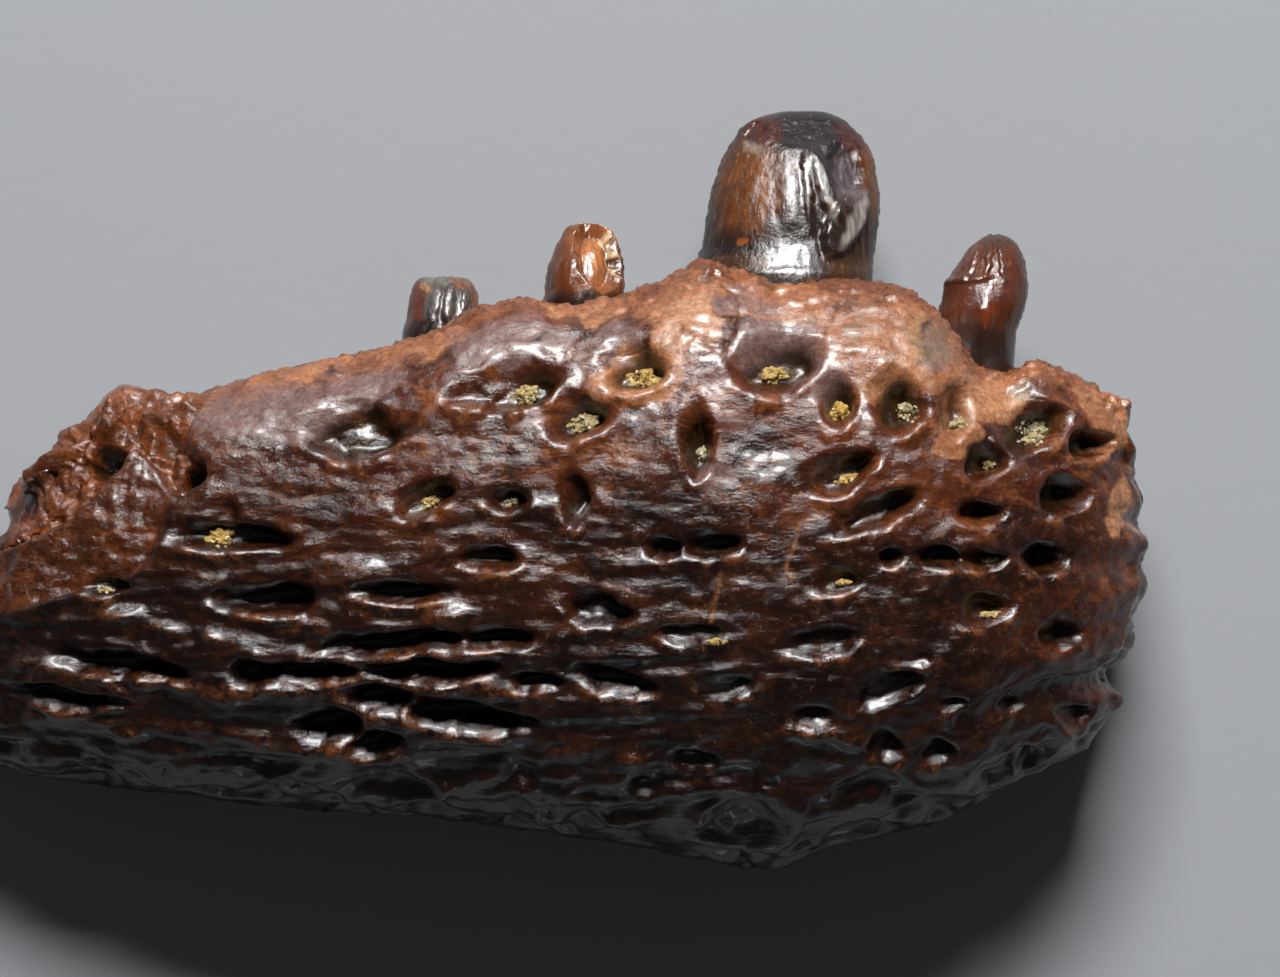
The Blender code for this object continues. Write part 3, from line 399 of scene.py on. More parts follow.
def smooth_height(position, knots):
    """Smooth curve through given (position, height) knots."""
    place, height = np.array(knots, dtype=float).T
    slope = np.gradient(height, place)
    slot = np.clip(np.searchsorted(place, position) - 1, 0, len(place) - 2)
    span = place[slot + 1] - place[slot]
    t = np.clip((position - place[slot]) / span, 0.0, 1.0)
    rise = height[slot] * (1 + 2 * t) * (1 - t) ** 2 + height[slot + 1] * t * t * (3 - 2 * t)
    bend = slope[slot] * t * (1 - t) ** 2 - slope[slot + 1] * t * t * (1 - t)
    return rise + bend * span


def ease(start, end, value):
    """Smooth step from 0 at start to 1 at end."""
    t = np.clip((value - start) / (end - start), 0.0, 1.0)
    return t * t * (3 - 2 * t)


def noise_field(points, grain, octaves=1):
    """Smooth noise about zero at each point, grain millimetres across."""
    places = (np.asarray(points) / np.asarray(grain)).tolist()
    if octaves == 1:
        return np.array([noise.noise(place) for place in places])
    return np.array([noise.fractal(place, 1.0, 2.0, octaves) for place in places])


def rough(points, layers):
    """Sum of layers of noise, each given by its height, grain and octaves."""
    return sum(height * noise_field(points, grain, octaves) for height, grain, octaves in layers)


def cell_edges(points, cell):
    """Distance from the edges between scattered cells, 0 on an edge."""
    places = (np.asarray(points) / np.asarray(cell)).tolist()
    nearest = np.array([noise.voronoi(place)[0][:2] for place in places])
    return nearest[:, 1] - nearest[:, 0]


def wander(points, reach, grain):
    """Points shifted unevenly by up to about reach, so that no edge on them runs straight."""
    shifts = np.array([noise.noise_vector(place) for place in (points / grain).tolist()])
    return points + reach * shifts


def even_steps(rear_roundness, front_roundness, half_size, depth, count):
    """Places from -1 to 1 that are evenly spaced along the rounded section they stand on."""
    angle = np.linspace(-math.pi / 2, math.pi / 2, 4001)
    power = np.where(angle < 0, rear_roundness, front_roundness)
    place = np.sign(angle) * np.abs(np.sin(angle)) ** (2 / power)
    height = np.cos(angle) ** (2 / power)
    steps = np.hypot(np.diff(place) * half_size, np.diff(height) * depth)
    length = np.concatenate([[0.0], np.cumsum(steps)])
    places = np.interp(np.linspace(0.0, length[-1], count + 1), length, place)
    places[[0, -1]] = -1.0, 1.0
    return places


def rounded(place, power):
    """Height of the unit section |place|^power + height^power = 1."""
    return np.clip(1 - np.abs(place) ** power, 0.0, 1.0) ** (1 / power)


def between(first, last, share):
    return first + (last - first) * share


def outline_point(a, b):
    """Blend of the four outline edges at a, 0 rear to 1 front, and b, 0 bottom to 1 top."""
    def edge(knots, share):
        place = between(knots[0][0], knots[-1][0], share)
        return place, smooth_height(place, knots)

    top_x, top_y = edge(TOP_EDGE, a)
    bottom_x, bottom_y = edge(BOTTOM_EDGE, a)
    front_y, front_x = edge(FRONT_EDGE, b)
    rear_y, rear_x = edge(REAR_EDGE, b)
    corners = (BOTTOM_EDGE[0], BOTTOM_EDGE[-1], TOP_EDGE[0], TOP_EDGE[-1])
    shares = ((1 - a) * (1 - b), a * (1 - b), (1 - a) * b, a * b)
    x = (1 - b) * bottom_x + b * top_x + (1 - a) * rear_x + a * front_x
    y = (1 - b) * bottom_y + b * top_y + (1 - a) * rear_y + a * front_y
    x = x - sum(corner[0] * share for corner, share in zip(corners, shares))
    y = y - sum(corner[1] * share for corner, share in zip(corners, shares))
    return x, y


def bone_side(outer):
    """Grid of points on the outer or the inner side of the unworn bone."""
    thin = 1 if outer else 2
    steps_along = 2 * INNER_STEPS_ALONG
    steps_up = 2 * INNER_STEPS_UP
    along = even_steps(REAR_ROUNDNESS, FRONT_ROUNDNESS, HALF_LENGTH, 8.0, steps_along)[::thin, None]
    outer_rows = even_steps(OUTER_ROUNDNESS, OUTER_ROUNDNESS, HALF_HEIGHT, 8.0, steps_up)[None, ::thin]
    up = outer_rows + 0 * along
    if not outer:
        inner_rows = even_steps(
            INNER_BOTTOM_ROUNDNESS, INNER_TOP_ROUNDNESS, HALF_HEIGHT, 10.0, INNER_STEPS_UP
        )
        to_ends = np.abs(along) ** 8
        up = inner_rows[None, :] * (1 - to_ends) + outer_rows * to_ends
    x, y = outline_point((along + 1) / 2, (up + 1) / 2)
    thickness = smooth_height(x, THICKNESS)
    rim = thickness * between(*RIM, (up + 1) / 2)
    ends = np.where(along < 0, rounded(along, REAR_ROUNDNESS), rounded(along, FRONT_ROUNDNESS))
    if outer:
        z = rim + (thickness - rim) * ends * rounded(up, OUTER_ROUNDNESS)
    else:
        section = np.where(up < 0, rounded(up, INNER_BOTTOM_ROUNDNESS), rounded(up, INNER_TOP_ROUNDNESS))
        z = np.maximum(rim * (1 - SYMPHYSIS_CUT * ends * section), 0.0)
    return np.stack([x, y, z], axis=-1)


def bone_grid():
    """Points and faces of the closed bone; the inner side shares every second point of the outline."""
    across, up = INNER_STEPS_ALONG, INNER_STEPS_UP
    outer = bone_side(True)
    inner = bone_side(False)
    outer_index = np.arange(outer[..., 0].size).reshape(outer.shape[:2])
    inner_index = outer_index[::2, ::2].copy()
    inside = outer_index.size + np.arange((across - 1) * (up - 1))
    inner_index[1:-1, 1:-1] = inside.reshape(across - 1, up - 1)
    points = np.concatenate([outer.reshape(-1, 3), inner[1:-1, 1:-1].reshape(-1, 3)])
    faces = [
        (outer_index[i, j], outer_index[i + 1, j], outer_index[i + 1, j + 1], outer_index[i, j + 1])
        for i in range(2 * across) for j in range(2 * up)
    ]
    for i in range(across):
        for j in range(up):
            loop = [inner_index[i, j]]
            if j == 0:
                loop.append(outer_index[2 * i + 1, 0])
            loop.append(inner_index[i + 1, j])
            if i == across - 1:
                loop.append(outer_index[-1, 2 * j + 1])
            loop.append(inner_index[i + 1, j + 1])
            if j == up - 1:
                loop.append(outer_index[2 * i + 1, -1])
            loop.append(inner_index[i, j + 1])
            if i == 0:
                loop.append(outer_index[0, 2 * j + 1])
            faces.append(tuple(reversed(loop)))
    return points, [tuple(int(index) for index in face) for face in faces]


def patch_distance(x, y, patch):
    """Distance from a patch's centre, 1 on its rim, and how far below the centre, in its own frame."""
    centre_x, centre_y, half_length, half_width, tilt = patch[:5]
    turn = math.radians(tilt)
    forward = (x - centre_x) * math.cos(turn) + (y - centre_y) * math.sin(turn)
    upward = (y - centre_y) * math.cos(turn) - (x - centre_x) * math.sin(turn)
    distance = np.hypot(forward / half_length, upward / half_width)
    return distance, -upward / half_width / np.maximum(distance, 0.01)


def chain_distance(x, y, chain):
    """Distance from a chain of straight pieces."""
    nearest = np.full_like(x, np.inf)
    for (start_x, start_y), (end_x, end_y) in zip(chain, chain[1:]):
        run_x, run_y = end_x - start_x, end_y - start_y
        share = ((x - start_x) * run_x + (y - start_y) * run_y) / (run_x ** 2 + run_y ** 2)
        share = np.clip(share, 0.0, 1.0)
        nearest = np.minimum(nearest, np.hypot(x - start_x - share * run_x, y - start_y - share * run_y))
    return nearest


def chain_field(points, chains, half_width):
    """1 on the line of any chain, easing to 0 at half_width."""
    x, y, _z = wander(points, 0.12, 0.8).T
    return ease(half_width, 0.0, np.min([chain_distance(x, y, chain) for chain in chains], axis=0))


def chain_ridge(points, chains, half_width, reach=0.3, grain=1.6):
    """Rounded ridge along each chain, uneven in height."""
    x, y, _z = wander(points, reach, grain).T
    nearest = np.min([chain_distance(x, y, chain) for chain in chains], axis=0)
    uneven = np.clip(0.8 + 0.9 * noise_field(points, 1.4), 0.15, 1.3)
    return uneven * np.exp(-((nearest / half_width) ** 2))


def patch_depth(x, y, patches, rim, foot):
    """Greatest depth of the patches at each place, with walls from rim to foot."""
    return np.max([patch[5] * ease(rim, foot, patch_distance(x, y, patch)[0]) for patch in patches], axis=0)


def patch_field(points, patches, reach=1.0, grain=1.5):
    """1 inside any of the patches, with ragged soft edges."""
    x, y, _z = wander(points, reach, grain).T
    return patch_depth(x, y, [(*patch, 1) for patch in patches], 1.3, 0.5)


def pit_fields(points):
    """Depth of the pits, sloping at the top and steep at the foot, and the swollen lips under them."""
    x, y, _z = wander(wander(points, *PIT_WANDER), *PIT_FINE_WANDER).T
    hollow = np.zeros_like(x)
    lip = np.zeros_like(x)
    grain = noise_field(points, 1.0)
    for pit in PITS:
        distance, below = patch_distance(x, y, pit)
        to_front = ease(-0.5, 0.5, (x - pit[0]) / pit[2])
        distance = distance / between(*PIT_STRETCH, to_front)
        foot = ease(-0.6, 0.7, below)
        start = between(*PIT_WALL_START, foot)
        end = between(*PIT_WALL_END, foot)
        depth = pit[5] * between(*PIT_FLOOR, to_front)
        hollow = np.maximum(hollow, depth * ease(end, start, distance + PIT_FRAY * grain))
        reach = np.hypot(x - pit[0], y - pit[1]) * (1 - 1 / np.maximum(distance, 0.05))
        ridge = np.exp(-(((reach - PIT_LIP_PLACE) / PIT_LIP_WIDTH) ** 2))
        lip = np.maximum(lip, ridge * np.clip(below, 0.0, 1.0) ** 1.3)
    uneven = np.clip(0.6 + 2.2 * grain, 0.0, 1.3)
    return hollow, uneven * lip * (1 - ease(0.1, 0.5, hollow))


def broken_field(points):
    """1 where the smooth outer layer is missing at the rear."""
    x, y, _z = points.T
    edge = smooth_height(np.clip(y, BROKEN_EDGE[0][0], BROKEN_EDGE[-1][0]), BROKEN_EDGE)
    return ease(0.0, 0.5, edge - x) * ease(-6.6, -5.2, y)


def inner_relief(points):
    """Depth of the groove along the inner side and of the wall that stands back above it."""
    x, y, _z = wander(points, *INNER_WANDER).T
    centre, half_width, depth = (
        smooth_height(x, [(knot[0], knot[column]) for knot in INNER_GROOVE]) for column in (1, 2, 3)
    )
    groove = depth * ease(1.0, 0.3, np.abs(y - centre) / half_width)
    recess = INNER_RECESS_DEPTH * ease(*INNER_RECESS_FRONT, x) * ease(*INNER_RECESS_FOOT, y)
    return -np.maximum(groove, recess)


def level_field(points):
    """1 on the level part of the flaked rear, 0 in the hollows above it."""
    x, y, _z = wander(points, 0.3, 0.9).T
    return ease(-0.1, 0.35, np.interp(x, *zip(*LEVEL_EDGE)) - y)


def cavity_field(points):
    """Depth of the cavities in the flaked rear part, and height of the lumps between them."""
    x, y, _z = wander(points, 0.4, 0.9).T
    ridge = REAR_RIDGE_HEIGHT * chain_ridge(points, [REAR_RIDGE], REAR_RIDGE_HALF_WIDTH, 0.35, 0.9)
    lump = np.maximum(patch_depth(x, y, REAR_LUMPS, 1.2, 0.2), ridge)
    return patch_depth(x, y, CAVITIES, 1.25, 0.4), lump


def broken_relief(points):
    """Crumbs and small hollows of the flaked rear part."""
    crumbs = 0.45 - cell_edges(wander(points, 0.3, 0.6), (1.5, 1.1, 1.3))
    fine = 0.4 - cell_edges(wander(points, 0.15, 0.4), 0.55)
    return rough(points, BROKEN_RELIEF) - 0.4 * crumbs - 0.2 * fine


def carve_bone(points, normals):
    """Carved places of the unworn bone's points, and the masks that its finish follows."""
    x, y, z = points.T
    normal_x, normal_y, normal_z = normals.T
    outward = ease(-0.1, 0.25, normal_z)
    inward = ease(-0.3, -0.7, normal_z)
    on_shelf = ease(0.5, 0.8, normal_y) * (1 - outward)
    underside = np.maximum(ease(-13.0, -15.2, y), ease(-0.55, -0.8, normal_y))
    tip = ease(0.75, 0.95, normal_x) * ease(22.5, 24.0, x) * ease(3.8, 2.2, y)
    rear = ease(-0.5, -0.85, normal_x) * ease(-27.0, -29.0, x)
    on_facet = ease(-0.9, -0.98, normal_z) * ease(0.2, 0.0, z)
    top_gap = smooth_height(np.clip(x, TOP_EDGE[0][0], TOP_EDGE[-1][0]), TOP_EDGE) - y

    hollow, lip = pit_fields(points)
    broken = broken_field(points)
    level = level_field(points)
    flaked = broken * (1 - level)
    hollow = PIT_DEEPENING * hollow * (1 - flaked)
    hollow *= 1 - LOW_FRONT_SHALLOWING * ease(-4.0, -6.5, y) * ease(1.0, 4.0, x)
    crack = chain_field(points, CRACKS, CRACK_HALF_WIDTH)
    vein = chain_field(points, VEINS, VEIN_HALF_WIDTH)
    ridge = chain_ridge(points, RIDGES, RIDGE_HALF_WIDTH) * (1 - ease(0.2, 0.7, hollow))
    cavity, lump = cavity_field(points)
    cavity = cavity * ease(-20.5, -21.5, x) * (1 - 0.8 * level)
    net = cell_edges(wander(points, 1.1, 2.4), NET_CELL)
    wall = chain_ridge(points, NET_WALLS, NET_WALL_HALF_WIDTH, 0.25, 1.2)
    folded = ease(3.0, -5.0, y) * ease(9.0, 1.0, x) * (1 - broken)
    crest = np.maximum(ease(1.7, 0.2, top_gap) * ease(-19.0, -14.0, x), 0.6 * ease(0.8, 1.0, normal_y))
    crumbled = broken_relief(points)

    relief = outward * (PIT_LIP_HEIGHT * lip + RIDGE_HEIGHT * ridge - hollow)
    relief -= outward * (CRACK_DEPTH * crack + cavity)
    relief += outward * ((1 - broken) * rough(points, SWELLING) + folded * rough(points, LENGTHWISE_FOLDS))
    relief += outward * flaked * (crumbled - BROKEN_DEPTH + lump)
    relief += outward * broken * level * (0.35 * crumbled - LEVEL_DEPTH)
    webbed = np.maximum(underside, tip) * (1 - inward)
    relief += webbed * (NET_RIDGE_HEIGHT - NET_DEPTH * ease(0.0, 0.6, net) + NET_WALL_HEIGHT * wall)
    relief -= on_shelf * patch_depth(x, z, EMPTY_SOCKETS, 1.1, 0.4)
    relief += inward * inner_relief(points)
    relief += rear * (rough(points, REAR_BREAK) + 0.8 * crumbled)
    relief += crest * (1 - inward) * rough(points, CREST_CRUMBS)
    relief += (1 - on_facet) * rough(points, BONE_SKIN)
    carved = points + normals * relief[:, None]
    carved[:, 1] += PIT_UNDERCUT * outward * hollow
    carved[:, 2] = np.maximum(carved[:, 2], 0.0)
    masks = {
        # The pit mask lays an olive fill, partly real, and painted shade into the pits and cavities
        "pit": outward * np.maximum(ease(0.25, 1.25, hollow), ease(0.2, 1.3, cavity)),
        "lip": outward * np.clip(lip + 0.6 * ridge, 0.0, 1.0),
        "crack": outward * crack,
        "vein": outward * vein,
        "broken": np.maximum(outward * broken * (1 - 0.55 * level), rear),
        # Painted shade: the under mask grows towards the bottom and over the underside, where the lamp's
        # light falls least
        "under": np.maximum(underside * (1 - inward), ease(5.0, -13.0, y + 0.25 * x)),
        "tan": outward * patch_field(points, TAN_PATCHES),
        "mauve_and_sheen": outward * patch_field(points, MAUVE_AND_SHEEN_PATCHES),
        "margin": ease(1.6, 0.3, top_gap),
        "dark": outward * patch_field(points, DARK_PATCHES, 2.0, 4.0),
        "stain": outward * patch_field(points, STAINS, 0.5, 0.8),
        "spot": outward * patch_field(points, DARK_SPOTS, 0.15, 0.4),
    }
    return carved, masks


def add_mesh(name, points, faces, material, masks=None, smooth=True):
    """Mesh object from face millimetres, standing in the frame, with masks as attributes."""
    shift = np.array([FRAME_CENTRE[0], FRAME_CENTRE[1], 0.0])
    mesh = bpy.data.meshes.new(name)
    mesh.from_pydata(((np.asarray(points) - shift) * MM).tolist(), [], faces)
    mesh.update()
    if smooth:
        mesh.shade_smooth()
    for mask, values in (masks or {}).items():
        layer = mesh.attributes.new(mask, "FLOAT", "POINT")
        layer.data.foreach_set("value", np.asarray(values, dtype=np.float32))
    mesh.materials.append(material)
    item = bpy.data.objects.new(name, mesh)
    bpy.context.scene.collection.objects.link(item)
    return item


def vertex_normals(points, faces):
    """Normals of a mesh at its points."""
    mesh = bpy.data.meshes.new("normals")
    mesh.from_pydata(np.asarray(points).tolist(), [], faces)
    mesh.update()
    normals = np.empty(len(points) * 3)
    mesh.vertex_normals.foreach_get("vector", normals)
    bpy.data.meshes.remove(mesh)
    return normals.reshape(-1, 3)


def make_bone(material):
    """The dressed bone; gives back its surface, for the sand to lie on."""
    points, faces = bone_grid()
    carved, masks = carve_bone(points, vertex_normals(points, faces))
    place_piece(add_mesh("fossil_bone", carved, faces, material, masks), ["jaw_bone"])
    return BVHTree.FromPolygons(carved.tolist(), faces)


def place_piece(piece, nodes):
    """Fix a piece to the body and in place of the CAD nodes."""
    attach(piece, BODY)
    if nodes:
        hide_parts(*nodes)


def tooth_points(rows, sides, steps):
    """Points round a tooth from root to tip, its front and rear edges drawn to a low keel."""
    place = np.linspace(0, len(rows) - 1, steps)
    index = np.arange(len(rows))
    y, left, right, front, back = (
        smooth_height(place, list(zip(index, [row[column] for row in rows])))[:, None] for column in range(5)
    )
    turn = np.linspace(0, 2 * math.pi, sides, endpoint=False)[None, :]
    outward = np.sign(np.sin(turn)) * np.abs(np.sin(turn)) ** CARINA_SHARPNESS
    x = (left + right) / 2 + (right - left) / 2 * np.cos(turn)
    z = (front + back) / 2 + (front - back) / 2 * outward
    return np.stack([x, y + 0 * turn, z], axis=-1).reshape(-1, 3), (outward + 0 * y).ravel()


def ring_faces(ring_count, sides):
    """Faces between rings, and one cap at each end."""
    faces = []
    for ring in range(ring_count - 1):
        for side in range(sides):
            here = ring * sides + side
            beside = ring * sides + (side + 1) % sides
            faces.append((here, here + sides, beside + sides, beside))
    faces.append(tuple(range(sides)))
    faces.append(tuple(reversed(range((ring_count - 1) * sides, ring_count * sides))))
    return faces


def patch_share(points, patch, sharpness):
    """1 inside a patch, its edge ragged and as crisp as sharpness says."""
    distance = patch_distance(points[:, 0], points[:, 1], patch)[0]
    return ease(1 + sharpness, 1 - sharpness, distance)


def make_tooth(node, rows, relief_patches, tones, material, sides=160, steps=150):
    """Tooth with its facets and flakes; tones are a ground tone and patches of other tones over it."""
    points, outward = tooth_points(rows, sides, steps)
    faces = ring_faces(steps, sides)
    normals = vertex_normals(points, faces)
    labial = ease(0.0, 0.25, outward)
    ragged = wander(points, 0.12, 0.5)
    tip = rows[-1][0]
    crown = ease(rows[2][0], rows[4][0], points[:, 1]) * ease(tip, tip - 1.0, points[:, 1])
    relief = crown * rough(points, ENAMEL_FLUTES) + rough(points, ENAMEL_SKIN)
    for patch in relief_patches:
        relief += labial * patch[5] * patch_share(ragged, patch, patch[6])
    keel = ease(0.25, 0.0, np.abs(outward)) * crown
    relief += keel * rough(points, KEEL_CHIPS)
    colours = np.tile(shade(*tones[0]), (len(points), 1))
    stained = wander(points, 0.25, 0.6)
    for tone, strength, sharpness, *patch in tones[1:]:
        share = strength * patch_share(stained, patch, sharpness)[:, None]
        colours = colours * (1 - share) + share * np.array(shade(*tone))
    tooth = add_mesh("enamel_" + node, points + normals * relief[:, None], faces, material)
    layer = tooth.data.color_attributes.new("tone", "FLOAT_COLOR", "POINT")
    layer.data.foreach_set("color", np.hstack([colours, np.ones((len(points), 1))]).ravel())
    place_piece(tooth, [node])


def ball_mesh(subdivisions):
    """Points and faces of a unit ball."""
    ball = bmesh.new()
    bmesh.ops.create_icosphere(ball, subdivisions=subdivisions, radius=1.0)
    points = np.array([vertex.co[:] for vertex in ball.verts])
    faces = [tuple(vertex.index for vertex in face.verts) for face in ball.faces]
    ball.free()
    return points, faces


def grain_mesh(centres, sizes, rng):
    """Angular grains, each a roughened ball of a few faces, as one mesh."""
    unit, unit_faces = ball_mesh(2)
    points, faces, owner = [], [], []
    for number, (centre, size) in enumerate(zip(centres, sizes)):
        turn = Euler([rng.uniform(0, 6.3) for _axis in range(3)]).to_matrix()
        squash = np.array([rng.uniform(0.6, 1.3) for _axis in range(3)])
        shape = 1 + 0.55 * noise_field(unit + [number * 3.7, 0, 0], 0.8)
        local = (unit * shape[:, None] * squash * size) @ np.array(turn).T
        faces += [tuple(index + len(points) * len(unit) for index in face) for face in unit_faces]
        points.append(local + centre)
        owner.append(np.full(len(unit), rng.random()))
    return np.concatenate(points), faces, np.concatenate(owner)


def on_patch(patch, along, across):
    """Place on the outer face from distances along and across a patch."""
    centre_x, centre_y, turn = patch[0], patch[1], math.radians(patch[4])
    x = centre_x + along * math.cos(turn) - across * math.sin(turn)
    return x, centre_y + along * math.sin(turn) + across * math.cos(turn)


def crust_mesh(patch, floor):
    """Low rough mound that ties the grains of a patch together."""
    unit, faces = ball_mesh(4)
    sizes = np.array([*patch[2:4], SAND_HEAP])
    shape = 1.1 + 0.8 * noise_field(unit * sizes + [*patch[:2], 0], 0.3, 3)
    local = unit * sizes * shape[:, None]
    x, y = on_patch(patch, local[:, 0], local[:, 1])
    return np.stack([x, y, floor + local[:, 2]], axis=-1), faces, np.full(len(unit), 0.4)


def height_at(surface, x, y):
    """Height of the bone's surface at a place on the outer face."""
    return surface.ray_cast(Vector((x, y, 40.0)), Vector((0, 0, -1)))[0].z


def make_sand_piece(name, patches, surface, material, rng):
    """Crusts of sand on the bone inside each patch, with loose grains heaped on them."""
    points, faces, yellow, owner = [], [], [], []
    start = 0
    for patch in patches:
        half_length, half_width = patch[2:4]
        floor = height_at(surface, *patch[:2])
        centres, sizes = [], []
        for _grain in range(max(5, int(SAND_GRAINS_PER_MM2 * math.pi * half_length * half_width))):
            radius, angle = math.sqrt(rng.random()), rng.uniform(0, 2 * math.pi)
            along, across = half_length * radius * math.cos(angle), half_width * radius * math.sin(angle)
            x, y = on_patch(patch, along, across)
            crust_top = floor + SAND_HEAP * math.sqrt(1 - radius ** 2)
            centres.append(np.array([x, y, max(height_at(surface, x, y), crust_top)]))
            sizes.append(rng.uniform(*SAND_GRAIN_RADIUS))
        for part, part_faces, part_owner in (grain_mesh(centres, sizes, rng), crust_mesh(patch, floor)):
            points.append(part)
            faces += [tuple(index + start for index in face) for face in part_faces]
            owner.append(part_owner)
            yellow.append(np.full(len(part), patch[5]))
            start += len(part)
    masks = {"yellow": np.concatenate(yellow), "grain": np.concatenate(owner)}
    return add_mesh(name, np.concatenate(points), faces, material, masks, smooth=False)


def make_sand(surface, material):
    rng = random.Random(7)
    for number, plug in enumerate(SEDIMENT_PLUGS, start=1):
        piece = make_sand_piece(f"sand_{number}", [plug], surface, material, rng)
        place_piece(piece, [f"sediment_plug_{number}"])
    loose = make_sand_piece("sand_loose", LOOSE_SAND, surface, material, rng)
    place_piece(loose, [])


class Shader:
    """A material's node tree, with short calls for the nodes that the finishes use."""

    def __init__(self, name):
        self.material = bpy.data.materials.new(name)
        self.material.use_nodes = True
        self.tree = self.material.node_tree
        self.surface = self.tree.nodes["Principled BSDF"]
        self.place = self.node("TexCoord").outputs["Object"]

    def wire(self, source, socket):
        if isinstance(source, bpy.types.NodeSocket):
            self.tree.links.new(source, socket)
        elif socket.type == "RGBA":
            socket.default_value = (*source, 1.0)
        else:
            socket.default_value = source

    def fill(self, node, inputs):
        """Set or wire a node's inputs, by name or number."""
        for key, source in inputs.items():
            self.wire(source, node.inputs[key])
        return node

    def node(self, kind, inputs=None):
        return self.fill(self.tree.nodes.new("ShaderNode" + kind), inputs or {})

    def noise(self, grain, detail=4.0, roughness=0.55, stretch=(1, 1, 1), distortion=0.0):
        scale = [1 / (grain * MM * factor) for factor in stretch]
        place = self.node("Mapping", {"Vector": self.place, "Scale": scale}).outputs["Vector"]
        return self.node("TexNoise", {
            "Vector": place, "Scale": 1.0, "Detail": detail, "Roughness": roughness, "Distortion": distortion,
        }).outputs["Fac"]

    def mask(self, name, output="Fac"):
        attribute = self.node("Attribute")
        attribute.attribute_name = name
        return attribute.outputs[output]

    def span(self, value, low, high, to_low=0.0, to_high=1.0):
        inputs = {"Value": value, "From Min": low, "From Max": high, "To Min": to_low, "To Max": to_high}
        node = self.node("MapRange", inputs)
        node.interpolation_type = "SMOOTHSTEP"
        return node.outputs["Result"]

    def math(self, operation, first, second):
        node = self.node("Math", {0: first, 1: second})
        node.operation = operation
        return node.outputs[0]

    def times(self, first, second):
        return self.math("MULTIPLY", first, second)

    def mix(self, share, first, second):
        """Blend of two colours; these are the numbers of the node's colour sockets."""
        node = self.node("Mix", {0: share, 6: first, 7: second})
        node.data_type = "RGBA"
        return node.outputs[2]

    def over(self, colour, *layers):
        """Colour with others laid over it in turn, each by its share and strength."""
        for share, strength, other in layers:
            colour = self.mix(self.times(share, strength), colour, other)
        return colour

    def bump(self, height, distance, strength=1.0, under=None):
        inputs = {"Strength": strength, "Distance": distance * MM, "Height": height}
        if under:
            inputs["Normal"] = under
        return self.node("Bump", inputs).outputs["Normal"]

    def finish(self, colour, roughness, normal, coat=0.0, coat_roughness=0.1):
        self.fill(self.surface, {
            "Base Color": colour, "Roughness": roughness, "Normal": normal,
            "Coat Weight": coat, "Coat Roughness": coat_roughness,
        })
        return self.material


